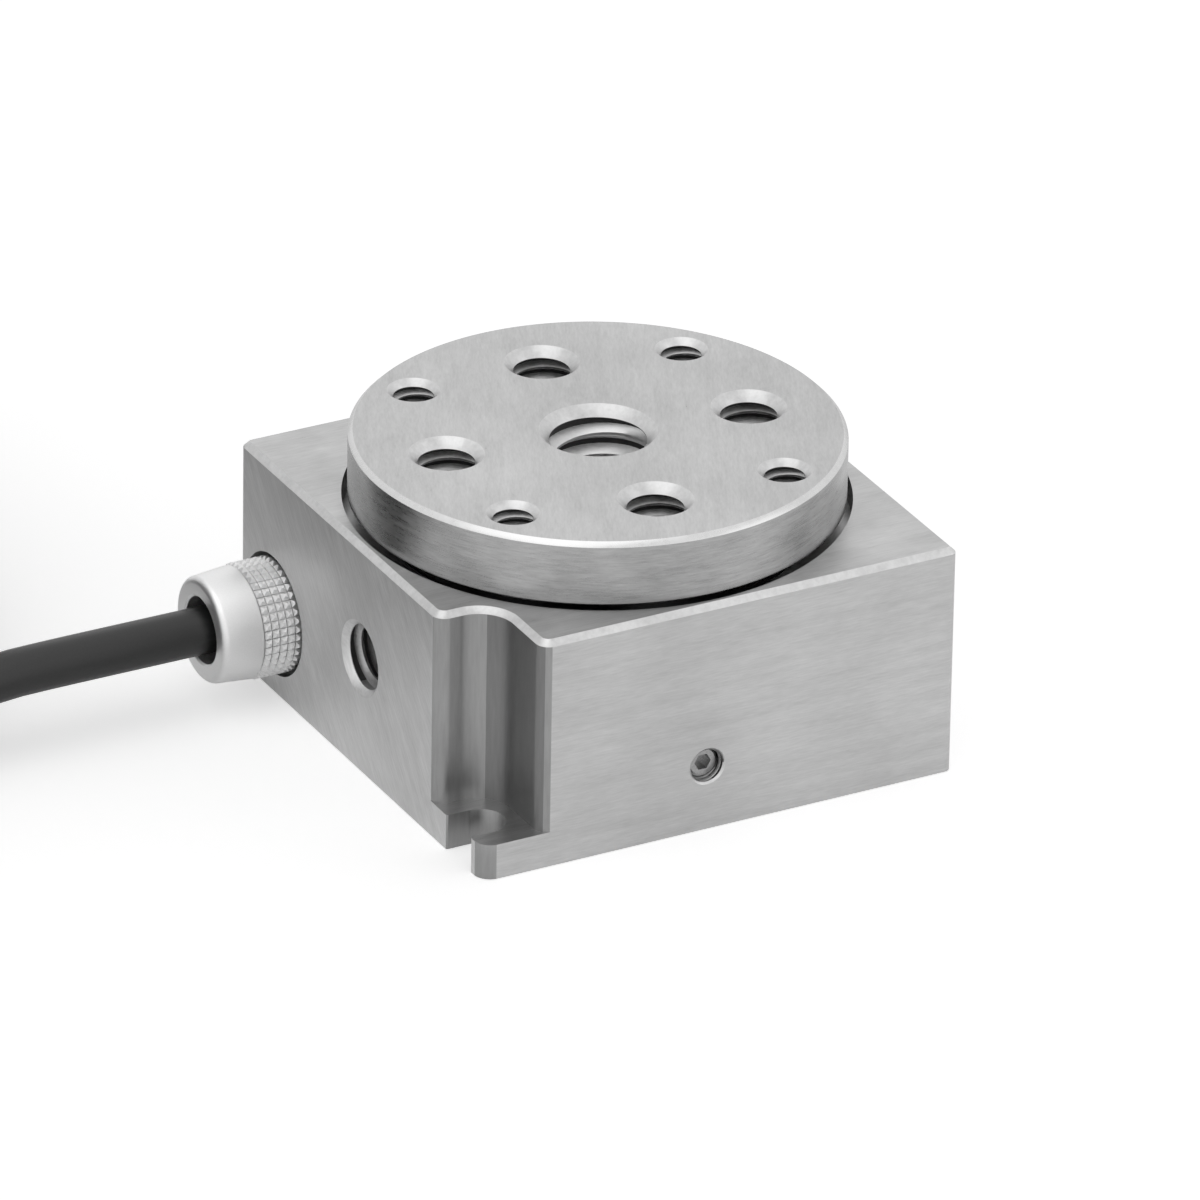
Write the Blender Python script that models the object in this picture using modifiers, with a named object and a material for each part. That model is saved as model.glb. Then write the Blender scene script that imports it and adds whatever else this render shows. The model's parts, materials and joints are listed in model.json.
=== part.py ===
"""Rotation stage: a small motor-driven turntable in a square steel body, with its cable and plug.

Frame: the origin is the middle of the body's underside, on the turntable's axis.
+X runs right along the front face, +Y runs to the back, +Z is up. Lengths are in metres.
"""

import math

import bmesh
import bpy
from mathutils import Matrix, Vector

MM = 0.001

# Clearances
SEAT_GAP = 0.2 * MM  # between pieces that are fastened together
RUN_GAP = 0.3 * MM  # between pieces that turn past each other
CUT_PAST = 1.0 * MM  # how far a cutter reaches past the face that it opens

# Body
BODY_SIDE = 30.0 * MM
BODY_HEIGHT = 14.1 * MM
BODY_CORNER = 0.5 * MM
TOP_CHAMFER = 0.35 * MM

# Clamping feet in two opposite corners
NOTCH_DEEP_X = 3.6 * MM
NOTCH_DEEP_Y = 5.6 * MM
NOTCH_INNER_ROUND = 2.1 * MM
NOTCH_EDGE_ROUND = 0.8 * MM
FOOT_HEIGHT = 2.15 * MM
FOOT_CORNER = 1.0 * MM
FOOT_LIP = 0.15 * MM
SLOT_WIDTH = 2.86 * MM
SLOT_FROM_FRONT = 2.87 * MM  # front face to the slot's middle line
SLOT_LENGTH = 2.83 * MM  # left face to the furthest point of the slot's round end

# Turntable
PLATE_RADIUS = 14.12 * MM
PLATE_THICK = 3.9 * MM
PLATE_LIFT = 0.1 * MM  # plate's underside above the body's top face
PLATE_CHAMFER = 0.28 * MM
PLATE_LOWER_CHAMFER = 0.12 * MM
PLATE_SIDE_GAP = 0.4 * MM
RECESS_DEPTH = 1.6 * MM
HOLES_TURNED = math.radians(-7.4)  # the hole pattern's angle at rest
TAP_CHAMFER = 0.19 * MM
CENTRE_TAP_RADIUS = 3.175 * MM
LARGE_TAP_RADIUS = 2.083 * MM
LARGE_TAP_RING = 9.1 * MM
LARGE_TAPS = 4
SMALL_TAP_RADIUS = 1.422 * MM
SMALL_TAP_RING = 11.48 * MM
SMALL_TAPS = 4

# Bearing
BALL_RADIUS = 1.2 * MM
BALLS = 10
PITCH_RADIUS = 8.75 * MM
RACE_WIDTH = 3.6 * MM
RACE_THICK = 1.4 * MM
RACE_APART = 1.7 * MM  # between the two races' facing sides
CAGE_THICK = 1.2 * MM
CAGE_WIDTH = 3.2 * MM

# Threaded ring that holds the outer race down
RETAINER_THICK = 0.6 * MM
RETAINER_OVERLAP = 1.1 * MM  # how far it reaches in over the outer race
RETAINER_THREAD = 1.2 * MM  # how far its thread lies outside the outer race
SPANNER_HOLES = 2
SPANNER_HOLE_RADIUS = 0.5 * MM

# Hub, drive ring and scale under the turntable
SPINDLE_SHOULDER = 0.4 * MM
HUB_TALL = 4.35 * MM
HUB_RADIUS = 6.85 * MM
HUB_BORE = 3.3 * MM
HUB_SCREWS = 3
HUB_SCREW_RING = 4.9 * MM
HUB_HEAD_ROOM = 1.5 * MM
DRIVE_RING_RADIUS = 8.0 * MM
DRIVE_RING_TALL = 1.8 * MM
DRIVE_HEIGHT = 3.96 * MM  # height of the motor's push and of its adjusting screw
SCALE_RADIUS = 6.6 * MM
SCALE_BORE = 4.2 * MM
SCALE_THICK = 0.25 * MM

# Space inside the body
COVER_THICK = 1.3 * MM
COVER_INSET = 0.1 * MM
COVER_SIDE_WALL = 2.7 * MM  # body's wall beside the cover, left and right
COVER_END_WALL = 1.6 * MM  # the same at front and back
COVER_ROUND = 1.0 * MM
NOTCH_WALL_X = 2.8 * MM  # from the notch's inner wall to the cover's cut corner
NOTCH_WALL_Y = 3.8 * MM
SEAT_LEDGE = 0.8 * MM  # width of the shelf under the outer race
POCKET_ROUND = 1.2 * MM
POCKET_ROOM = 0.4 * MM  # round the motor
LEAD_POCKET_WALL_X = 4.4 * MM
LEAD_POCKET_WALL_Y = 2.4 * MM
LEAD_POCKET_WIDE = 8.6 * MM
LEAD_POCKET_LONG = 6.6 * MM
LEAD_POCKET_ROOF = 0.9 * MM  # left between the pocket and the bearing

# Motor
MOTOR_X = -0.81 * MM
STATOR_HALF = 6.8 * MM
STATOR_DEEP = 2.9 * MM
STATOR_TALL = 2.45 * MM
STATOR_BEAM = 0.7 * MM
STATOR_BACK = 0.6 * MM
PIEZO_HALF = 4.6 * MM
PIEZO_TALL = 2.0 * MM
TIP_HALF = 0.8 * MM
TIP_DEEP = 0.75 * MM
TIP_TALL = 1.4 * MM
TIP_ROUND = 0.35 * MM
LEAF_THICK = 0.25 * MM
LEAF_HALF = 5.4 * MM
LEAF_BOW = 0.35 * MM
LEAF_TALL = 1.8 * MM
LEAF_ROOM = 0.25 * MM
MOTOR_SCREW_REACH = 5.8 * MM
MOTOR_THREAD_DEPTH = 1.6 * MM
SET_SCREW_RADIUS = 0.92 * MM
SET_SCREW_SUNK = 0.6 * MM
SET_SCREW_CHAMFER = 0.12 * MM
SET_SCREW_HEX = 0.9 * MM
SET_SCREW_HEX_DEPTH = 0.75 * MM

# Reading head
BOARD_THICK = 0.5 * MM
BOARD_LIFT = 0.2 * MM
BOARD_EDGE_ROOM = 0.4 * MM
BOARD_FRONT = 5.0 * MM
BOARD_SCREW_RING = 8.6 * MM
BOARD_SCREW_ANGLES = (-8.0, 188.0)  # degrees
SENSOR_SIZE = (3.2 * MM, 2.2 * MM, 0.5 * MM)
HEADER_SIZE = (3.0 * MM, 1.2 * MM, 1.2 * MM)
HEADER_RING = 9.0 * MM
HEADER_ANGLE = math.radians(130.0)
LEADS = 3
LEAD_RADIUS = 0.2 * MM
LEAD_SPACING = 0.8 * MM

# Tapped hole in the left face
SIDE_TAP_HEIGHT = 7.05 * MM
SIDE_TAP_DEPTH = 3.2 * MM

# Cable gland in the left face
GLAND_INSET = 4.2 * MM  # from the back face
GLAND_Z = 4.85 * MM
COUNTERBORE_RADIUS = 3.67 * MM
COUNTERBORE_DEPTH = 1.6 * MM
FERRULE_REACH = 4.64 * MM
FERRULE_SUNK = 0.4 * MM
FERRULE_KNURL_RADIUS = 3.33 * MM
FERRULE_KNURL_REACH = 1.45 * MM
FERRULE_NECK_RADIUS = 3.3 * MM
FERRULE_NOSE_RADIUS = 3.15 * MM
FERRULE_NOSE_ROUND = 0.35 * MM
FERRULE_MOUTH_RADIUS = 1.99 * MM
FERRULE_MOUTH_DEPTH = 1.4 * MM
FERRULE_WALL = 0.6 * MM
SPIGOT_WALL = 0.7 * MM
SPIGOT_COLLAR = 0.8 * MM
SPIGOT_INSIDE = 4.2 * MM  # left face to its inner end
SEAL_LENGTH = 1.0 * MM

# Cable
CABLE_RADIUS = 1.4 * MM
CABLE_GAP = 0.25 * MM
CABLE_INSIDE = 3.5 * MM  # left face to the end of its jacket
TURN_PITCH = 2.9 * MM
COIL_RADIUS = 20.0 * MM  # middle line of the outermost turns
COIL_COLUMNS = 2
COIL_LAYERS = 4
COIL_X = -49.0 * MM
COIL_LIFT = 0.75 * MM
TIE_THICK = 0.5 * MM
TIE_GAP = 0.2 * MM
TIE_WIDTH = 3.0 * MM
TIE_ROUND = 0.4 * MM
TIE_ANGLES = (110.0, 238.0)  # degrees

# Plug
PLUG_AT = (-58.5 * MM, 30.8 * MM)
PLUG_YAW = math.radians(180.0)  # direction of the pins
PLUG_LIFT = 0.25 * MM
HOOD_THICK = 14.0 * MM
HOOD_WIDTH = 19.0 * MM
HOOD_TAIL_WIDTH = 10.0 * MM
HOOD_BACK = 22.0 * MM
HOOD_FRONT = 12.0 * MM
HOOD_SHOULDER = 15.0 * MM
HOOD_ROUND = 1.5 * MM
HOOD_EDGE = 0.8 * MM
HOOD_WALL = 1.5 * MM
HOOD_BOSS = 2.6 * MM  # half width of the solid round each screw
EAR_WIDTH = 30.8 * MM
EAR_DEEP = 3.0 * MM
FLANGE_TALL = 12.5 * MM
FLANGE_THICK = 0.8 * MM
SHELL_REACH = 5.8 * MM
SHELL_WALL = 0.45 * MM
SHELL_WIDTH = 16.9 * MM
SHELL_TALL = 8.3 * MM
SHELL_SLANT = 1.4 * MM
SHELL_ROUND = 1.6 * MM
INSERT_THICK = 1.6 * MM
PIN_RADIUS = 0.4 * MM
PIN_ROWS = 3
PIN_COLUMNS = 5
PIN_PITCH = 2.29 * MM
PIN_ROW_PITCH = 1.98 * MM
PIN_REACH = 4.6 * MM
JACK_SPREAD = 24.99 * MM
JACK_RADIUS = 1.4 * MM
JACK_KNOB_RADIUS = 2.7 * MM
JACK_KNOB_LENGTH = 9.0 * MM
JACK_REACH = 6.4 * MM
JACK_EDGE = 0.3 * MM
BOOT_LENGTH = 5.5 * MM
BOOT_BASE_RADIUS = 3.6 * MM
BOOT_END_RADIUS = 2.4 * MM
BOOT_FOOT = 2.0 * MM
BOOT_STEP = 1.2 * MM
BOOT_CABLE_DEPTH = 3.0 * MM

# Small screws: thread radius, head radius, head height
COVER_SCREW = (0.8 * MM, 1.4 * MM, 0.7 * MM)
HUB_SCREW = (0.75 * MM, 1.05 * MM, 1.1 * MM)
MOTOR_SCREW = (0.5 * MM, 0.95 * MM, 0.6 * MM)
BOARD_SCREW = (0.45 * MM, 0.75 * MM, 0.35 * MM)
HOOD_SCREW = (1.0 * MM, 1.9 * MM, 1.2 * MM)

# Facets round a full turn
FINE = 96
MEDIUM = 48
SMALL = 24
TINY = 12

# Body's levels, worked out from the sizes above
HALF = BODY_SIDE / 2
PLATE_BOTTOM = BODY_HEIGHT + PLATE_LIFT
PLATE_TOP = PLATE_BOTTOM + PLATE_THICK
RECESS_RADIUS = PLATE_RADIUS + PLATE_SIDE_GAP
RECESS_FLOOR = BODY_HEIGHT - RECESS_DEPTH
RACE_TOP = RECESS_FLOOR - RETAINER_THICK - SEAT_GAP
RACE_BOTTOM = RACE_TOP - RACE_WIDTH
RACE_MIDDLE = RACE_TOP - RACE_WIDTH / 2
INNER_RACE_OUTSIDE = PITCH_RADIUS - RACE_APART / 2
INNER_RACE_BORE = INNER_RACE_OUTSIDE - RACE_THICK
OUTER_RACE_INSIDE = PITCH_RADIUS + RACE_APART / 2
OUTER_RACE_OUTSIDE = OUTER_RACE_INSIDE + RACE_THICK
CAVITY_RADIUS = OUTER_RACE_OUTSIDE - SEAT_LEDGE
RETAINER_RADIUS = OUTER_RACE_OUTSIDE + RETAINER_THREAD
SPINDLE_RADIUS = INNER_RACE_BORE - SEAT_GAP
HUB_TOP = RACE_BOTTOM - SEAT_GAP
HUB_BOTTOM = HUB_TOP - HUB_TALL
SPINDLE_BOTTOM = HUB_TOP + SEAT_GAP
HUB_HEAD_SEAT = HUB_BOTTOM + HUB_HEAD_ROOM
SCALE_TOP = HUB_BOTTOM - SEAT_GAP
COVER_TOP = COVER_INSET + COVER_THICK
COVER_POCKET_TOP = COVER_TOP + SEAT_GAP
COVER_HALF_X = HALF - COVER_SIDE_WALL
COVER_HALF_Y = HALF - COVER_END_WALL
COVER_CUT_X = HALF - NOTCH_DEEP_X - NOTCH_WALL_X
COVER_CUT_Y = HALF - NOTCH_DEEP_Y - NOTCH_WALL_Y
COVER_SCREW_ROOM = COVER_SCREW[1] + 0.5 * MM
BOARD_BOTTOM = COVER_TOP + BOARD_LIFT
BOARD_TOP = BOARD_BOTTOM + BOARD_THICK
BOARD_RADIUS = CAVITY_RADIUS - BOARD_EDGE_ROOM
HEADER_TOP = BOARD_TOP + SEAT_GAP + HEADER_SIZE[2]

# Motor's places
TIP_FRONT_Y = -DRIVE_RING_RADIUS - RUN_GAP
STATOR_FRONT_Y = TIP_FRONT_Y - TIP_DEEP - SEAT_GAP
STATOR_BACK_Y = STATOR_FRONT_Y - STATOR_DEEP
STATOR_LOW = DRIVE_HEIGHT - STATOR_TALL / 2
STATOR_HIGH = DRIVE_HEIGHT + STATOR_TALL / 2
MOTOR_POCKET_Y = STATOR_BACK_Y - SEAT_GAP - LEAF_BOW - LEAF_THICK - LEAF_ROOM
MOTOR_POCKET_TOP = STATOR_HIGH + RUN_GAP
MOTOR_SCREW_Y = (STATOR_FRONT_Y + STATOR_BACK_Y) / 2
LEAD_POCKET_TOP = RACE_BOTTOM - LEAD_POCKET_ROOF

# Gland's places, measured out from the left face
GLAND_Y = HALF - GLAND_INSET
SPIGOT_BORE = CABLE_RADIUS + CABLE_GAP
SPIGOT_RADIUS = SPIGOT_BORE + SPIGOT_WALL
FERRULE_BORE = FERRULE_KNURL_RADIUS - FERRULE_WALL
FERRULE_SHOULDER = FERRULE_REACH - FERRULE_MOUTH_DEPTH
SEAL_TOP = FERRULE_SHOULDER - SEAT_GAP
SPIGOT_TOP = SEAL_TOP - SEAL_LENGTH - SEAT_GAP

# Coil's and plug's places
COIL_Y = GLAND_Y + COIL_RADIUS
COIL_OUTSIDE = COIL_RADIUS + TURN_PITCH / 2
COIL_INSIDE = COIL_OUTSIDE - COIL_COLUMNS * TURN_PITCH
COIL_TOP = COIL_LIFT + COIL_LAYERS * TURN_PITCH
PLUG_Z = COIL_TOP + TIE_GAP + TIE_THICK + PLUG_LIFT + HOOD_THICK / 2
FLANGE_BACK = HOOD_FRONT + SEAT_GAP
FLANGE_FACE = FLANGE_BACK + FLANGE_THICK

PARTS = "rotation_stage"
CUTTERS = "rotation_stage_cutters"


def clear_scene():
    for item in list(bpy.data.objects):
        bpy.data.objects.remove(item, do_unlink=True)


def collection(name):
    found = bpy.data.collections.get(name)
    if found is None:
        found = bpy.data.collections.new(name)
        bpy.context.scene.collection.children.link(found)
    return found


def material(name, colour, roughness, metallic):
    """A Principled material; the colour is linear red, green and blue."""
    made = bpy.data.materials.get(name)
    if made is None:
        made = bpy.data.materials.new(name)
        made.use_nodes = True
        shader = made.node_tree.nodes["Principled BSDF"]
        shader.inputs["Base Color"].default_value = (*colour, 1.0)
        shader.inputs["Roughness"].default_value = roughness
        shader.inputs["Metallic"].default_value = metallic
        made.diffuse_color = (*colour, 1.0)
    return made


def brushed_stainless():
    return material("brushed_stainless", (0.52, 0.52, 0.52), 0.34, 1.0)


def screw_steel():
    return material("screw_steel", (0.42, 0.42, 0.42), 0.3, 1.0)


def bearing_steel():
    return material("bearing_steel", (0.6, 0.6, 0.6), 0.15, 1.0)


def blackened_steel():
    return material("blackened_steel", (0.03, 0.03, 0.03), 0.5, 0.6)


def cage_brass():
    return material("cage_brass", (0.55, 0.38, 0.12), 0.4, 1.0)


def anodised_aluminium():
    return material("anodised_aluminium", (0.76, 0.76, 0.76), 0.38, 1.0)


def black_rubber():
    return material("black_rubber", (0.02, 0.02, 0.02), 0.6, 0.0)


def cable_jacket():
    return material("cable_jacket", (0.03, 0.03, 0.03), 0.5, 0.0)


def white_ceramic():
    return material("white_ceramic", (0.8, 0.78, 0.72), 0.35, 0.0)


def piezo_ceramic():
    return material("piezo_ceramic", (0.35, 0.27, 0.16), 0.5, 0.0)


def circuit_board():
    return material("circuit_board", (0.02, 0.12, 0.05), 0.45, 0.0)


def black_plastic():
    return material("black_plastic", (0.03, 0.03, 0.03), 0.45, 0.0)


def grey_plastic():
    return material("grey_plastic", (0.16, 0.16, 0.17), 0.5, 0.0)


def scale_chrome():
    return material("scale_chrome", (0.7, 0.7, 0.72), 0.1, 1.0)


def add(name, data, finish=None, group=PARTS):
    item = bpy.data.objects.new(name, data)
    collection(group).objects.link(item)
    if finish is not None:
        data.materials.append(finish)
    if group == CUTTERS:
        item.hide_render = True
        item.display_type = "WIRE"
    return item


def smooth(item, degrees=35.0):
    item.data.shade_smooth()
    item.data.set_sharp_from_angle(angle=math.radians(degrees))
    return item


def settled(item):
    """The object's evaluated mesh as a new mesh in world space, with doubled points welded."""
    bpy.context.view_layer.update()
    graph = bpy.context.evaluated_depsgraph_get()
    mesh = bpy.data.meshes.new_from_object(item.evaluated_get(graph))
    mesh.transform(item.matrix_world)
    welded = bmesh.new()
    welded.from_mesh(mesh)
    bmesh.ops.remove_doubles(welded, verts=welded.verts, dist=0.001 * MM)
    welded.to_mesh(mesh)
    welded.free()
    mesh.materials.clear()
    return mesh


def copies(name, template, places, finish):
    """An object of its own at each place, all sharing the template's finished mesh."""
    mesh = settled(template)
    mesh.name = name
    mesh.materials.append(finish)
    bpy.data.objects.remove(template, do_unlink=True)
    made = []
    for k, place in enumerate(places, 1):
        item = add(f"{name}_{k}", mesh)
        item.matrix_world = place
        made.append(smooth(item))
    return made


def carried_by(axis_name, height, items):
    """Parents the items to an empty on the turntable's axis."""
    axis = add(axis_name, None)
    axis.location = (0.0, 0.0, height)
    bpy.context.view_layer.update()
    for item in items:
        item.parent = axis
        item.matrix_parent_inverse = axis.matrix_world.inverted()


def along(direction):
    """The turn that takes +Z to the direction."""
    return Vector(direction).to_track_quat("Z", "Y").to_matrix().to_4x4()


def turned(name, profile, steps, finish=None, group=PARTS):
    """A turned piece about Z. The profile, (radius, height) points, runs down its outer side;
    it closes on itself, or ends on the axis at top and bottom."""
    mesh = bpy.data.meshes.new(name)
    points = [(radius, 0.0, height) for radius, height in profile]
    edges = [(i, i + 1) for i in range(len(points) - 1)]
    if profile[0][0] > 0:
        edges.append((len(points) - 1, 0))
    mesh.from_pydata(points, edges, [])
    item = add(name, mesh, finish, group)
    screw = item.modifiers.new("turn", "SCREW")
    screw.axis = "Z"
    screw.angle = 2 * math.pi
    screw.steps = steps
    screw.render_steps = steps
    screw.use_merge_vertices = True
    screw.merge_threshold = 0.005 * MM
    screw.use_smooth_shade = True
    return item


def round_cutter(name, radius, start, end, steps, end_radius=None):
    """A cylinder, or a cone with an end_radius, from start to end."""
    start = Vector(start)
    end = Vector(end)
    made = bmesh.new()
    bmesh.ops.create_cone(
        made,
        cap_ends=True,
        segments=steps,
        radius1=radius,
        radius2=radius if end_radius is None else end_radius,
        depth=(end - start).length,
    )
    mesh = bpy.data.meshes.new(name)
    made.to_mesh(mesh)
    made.free()
    item = add(name, mesh, group=CUTTERS)
    item.matrix_world = Matrix.Translation((start + end) / 2) @ along(end - start)
    return item


def tap_cutter(name, radius, depth, mouth, out, chamfer=TAP_CHAMFER):
    """A hole with a chamfered mouth, along the direction that leads out of it."""
    past = CUT_PAST / 2
    profile = [
        (0.0, past),
        (radius + chamfer + past, past),
        (radius, -chamfer),
        (radius, -depth),
        (0.0, -depth),
    ]
    item = turned(name, profile, SMALL, group=CUTTERS)
    item.matrix_world = Matrix.Translation(mouth) @ along(out)
    return item


def sink_cutter(name, sizes, face):
    """A hole for a countersunk screw put in from below, with a gap all round."""
    thread, head, tall = sizes
    slope = (head - thread) / tall
    profile = [
        (0.0, COVER_THICK + CUT_PAST),
        (thread + SEAT_GAP, COVER_THICK + CUT_PAST),
        (thread + SEAT_GAP, tall),
        (head + SEAT_GAP + slope * CUT_PAST, -CUT_PAST),
        (0.0, -CUT_PAST),
    ]
    item = turned(name, profile, TINY, group=CUTTERS)
    item.location = face
    return item


def block(name, centre, size, finish=None, group=PARTS):
    made = bmesh.new()
    bmesh.ops.create_cube(made, size=1.0)
    bmesh.ops.scale(made, vec=Vector(size), verts=made.verts)
    mesh = bpy.data.meshes.new(name)
    made.to_mesh(mesh)
    made.free()
    item = add(name, mesh, finish, group)
    item.location = centre
    return item


def rounded(corners, steps=MEDIUM):
    """An outline through (x, y, radius) corners, each turned by an arc of its radius."""
    outline = []
    for i, (x, y, radius) in enumerate(corners):
        here = Vector((x, y))
        back = (Vector(corners[i - 1][:2]) - here).normalized()
        ahead = (Vector(corners[(i + 1) % len(corners)][:2]) - here).normalized()
        half_angle = back.angle(ahead) / 2
        centre = here + (back + ahead).normalized() * radius / math.sin(half_angle)
        first = here + back * radius / math.tan(half_angle) - centre
        sweep = math.pi - 2 * half_angle
        if back.cross(ahead) > 0:
            sweep = -sweep
        count = max(1, math.ceil(abs(sweep) / (2 * math.pi) * steps))
        for k in range(count + 1):
            point = centre + Matrix.Rotation(sweep * k / count, 2) @ first
            if not outline or (point - outline[-1]).length > 0.002 * MM:
                outline.append(point)
    if (outline[0] - outline[-1]).length < 0.002 * MM:
        outline.pop()
    return outline


def half_turned(corners):
    """Corners followed by the same corners half a turn round the axis."""
    return corners + [(-x, -y, radius) for x, y, radius in corners]


def box_outline(left, right, front, back, radius, steps=SMALL):
    corners = [(left, back), (left, front), (right, front), (right, back)]
    return rounded([(x, y, radius) for x, y in corners], steps)


def plate(name, outlines, low, high, finish=None, group=PARTS, place=None):
    """A flat plate of one outline, or of one with holes, from height low to height high."""
    curve = bpy.data.curves.new(name + "_outline", "CURVE")
    curve.dimensions = "2D"
    curve.fill_mode = "BOTH"
    curve.extrude = (high - low) / 2
    for outline in outlines:
        spline = curve.splines.new("POLY")
        spline.points.add(len(outline) - 1)
        for point, (x, y) in zip(spline.points, outline, strict=True):
            point.co = (x, y, 0.0, 1.0)
        spline.use_cyclic_u = True
    guide = bpy.data.objects.new(name + "_guide", curve)
    collection(CUTTERS).objects.link(guide)
    guide.location = (0.0, 0.0, (low + high) / 2)
    mesh = settled(guide)
    mesh.name = name
    bpy.data.objects.remove(guide, do_unlink=True)
    bpy.data.curves.remove(curve)
    item = add(name, mesh, finish, group)
    if place is not None:
        item.matrix_world = place
    return item


def combine(item, tools, operation):
    """One Boolean for all the tools, which are moved to a collection of their own."""
    name = f"{item.name}_{operation.lower()}_{len(item.modifiers)}"
    group = bpy.data.collections.new(name)
    collection(CUTTERS).children.link(group)
    for tool in tools:
        if tool.name in collection(CUTTERS).objects:
            collection(CUTTERS).objects.unlink(tool)
        group.objects.link(tool)
    change = item.modifiers.new(name, "BOOLEAN")
    change.operation = operation
    change.solver = "EXACT"
    change.operand_type = "COLLECTION"
    change.collection = group


def cut(item, *tools):
    combine(item, tools, "DIFFERENCE")


def join(item, *tools):
    combine(item, tools, "UNION")


def tube(name, points, radius, finish, resolution=2):
    """A round wire through the points, with closed ends."""
    curve = bpy.data.curves.new(name, "CURVE")
    curve.dimensions = "3D"
    curve.bevel_depth = radius
    curve.bevel_resolution = resolution
    curve.use_fill_caps = True
    spline = curve.splines.new("POLY")
    spline.points.add(len(points) - 1)
    for point, place in zip(spline.points, points, strict=True):
        point.co = (*place, 1.0)
    return add(name, curve, finish)


def smooth_line(route, count):
    """Points spaced evenly by length along a smooth curve through the route's points."""
    route = [Vector(point) for point in route]
    padded = [2 * route[0] - route[1], *route, 2 * route[-1] - route[-2]]
    fine = []
    for a, b, c, d in zip(padded, padded[1:], padded[2:], padded[3:]):
        for k in range(20):
            t = k / 20
            straight = 2 * b + (c - a) * t
            bend = (2 * a - 5 * b + 4 * c - d) * t**2 + (3 * b - a - 3 * c + d) * t**3
            fine.append((straight + bend) / 2)
    fine.append(route[-1])
    lengths = [0.0]
    for a, b in zip(fine, fine[1:]):
        lengths.append(lengths[-1] + (b - a).length)
    spaced = []
    at = 0
    for k in range(count):
        goal = lengths[-1] * k / (count - 1)
        while at < len(fine) - 2 and lengths[at + 1] < goal:
            at += 1
        share = (goal - lengths[at]) / (lengths[at + 1] - lengths[at])
        spaced.append(fine[at].lerp(fine[at + 1], share))
    return spaced


def polar(ring, angle, height=0.0):
    return Vector((ring * math.cos(angle), ring * math.sin(angle), height))


def around(ring, count, first, height):
    """Points evenly round the axis on a circle of the given radius."""
    return [polar(ring, first + 2 * math.pi * k / count, height) for k in range(count)]


def standing(points):
    """A place for a piece at each point, its +Z up."""
    return [Matrix.Translation(point) for point in points]


def hanging(points):
    """A place for a piece at each point, its +Z down."""
    flip = Matrix.Rotation(math.pi, 4, "X")
    return [Matrix.Translation(point) @ flip for point in points]


def cap_screw_profile(sizes, length):
    """A cap screw standing on its head's seat at height 0, with a round socket on top."""
    thread, head, tall = sizes
    return [
        (0.0, tall * 0.45),
        (thread * 0.6, tall * 0.45),
        (thread * 0.6, tall),
        (head * 0.9, tall),
        (head, tall * 0.85),
        (head, 0.0),
        (thread, 0.0),
        (thread, -length + thread * 0.3),
        (thread * 0.7, -length),
        (0.0, -length),
    ]


def flat_screw_profile(sizes, length):
    """A countersunk screw with its flat top at height 0."""
    thread, head, tall = sizes
    return [
        (0.0, -tall * 0.5),
        (thread * 0.6, -tall * 0.5),
        (thread * 0.6, 0.0),
        (head, 0.0),
        (thread, -tall),
        (thread, -length + thread * 0.3),
        (thread * 0.7, -length),
        (0.0, -length),
    ]


def upper_outline():
    corners = [
        (-HALF, HALF, BODY_CORNER),
        (-HALF, -HALF + NOTCH_DEEP_Y, NOTCH_EDGE_ROUND),
        (-HALF + NOTCH_DEEP_X, -HALF + NOTCH_DEEP_Y, NOTCH_INNER_ROUND),
        (-HALF + NOTCH_DEEP_X, -HALF, NOTCH_EDGE_ROUND),
    ]
    return rounded(half_turned(corners))


def foot_outline():
    middle = -HALF + SLOT_FROM_FRONT
    half_slot = SLOT_WIDTH / 2
    slot_end = -HALF + SLOT_LENGTH
    corners = [
        (-HALF, HALF, BODY_CORNER),
        (-HALF, middle + half_slot, FOOT_LIP),
        (slot_end, middle + half_slot, half_slot * 0.999),
        (slot_end, middle - half_slot, half_slot * 0.999),
        (-HALF, middle - half_slot, FOOT_LIP),
        (-HALF, -HALF, FOOT_CORNER),
    ]
    return rounded(half_turned(corners))


def cover_outline(grow):
    corners = [
        (-COVER_HALF_X - grow, COVER_HALF_Y + grow, COVER_ROUND),
        (-COVER_HALF_X - grow, -COVER_CUT_Y + grow, COVER_ROUND),
        (-COVER_CUT_X - grow, -COVER_HALF_Y - grow, COVER_ROUND),
    ]
    return rounded(half_turned(corners), SMALL)


def cover_screw_spots():
    """Four spots near the cover's edge, clear of the round cavity and of both pockets."""
    side = COVER_HALF_X - COVER_SCREW_ROOM
    end = COVER_HALF_Y - COVER_SCREW_ROOM
    return [
        (side, -end),
        (-side, -COVER_CUT_Y + 0.7 * MM),
        (side, COVER_CUT_Y - 0.7 * MM),
        (2.0 * MM, end),
    ]


def motor_screw_spots():
    return [(MOTOR_X + side * MOTOR_SCREW_REACH, MOTOR_SCREW_Y) for side in (-1, 1)]


def board_screw_spots():
    return [polar(BOARD_SCREW_RING, math.radians(angle)) for angle in BOARD_SCREW_ANGLES]


def hub_screw_spots(height):
    return around(HUB_SCREW_RING, HUB_SCREWS, HOLES_TURNED, height)


def bearing_cutters():
    """The stepped bore from the top face down to the cavity."""
    steps = (
        ("table_recess", RECESS_RADIUS, RECESS_FLOOR, BODY_HEIGHT, FINE),
        ("retainer_thread", RETAINER_RADIUS, RACE_TOP, RECESS_FLOOR, MEDIUM),
        ("bearing_seat", OUTER_RACE_OUTSIDE + SEAT_GAP, HUB_TOP, RACE_TOP, MEDIUM),
    )
    return [
        round_cutter(name, radius, (0, 0, low), (0, 0, high + CUT_PAST), facets)
        for name, radius, low, high, facets in steps
    ]


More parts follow.
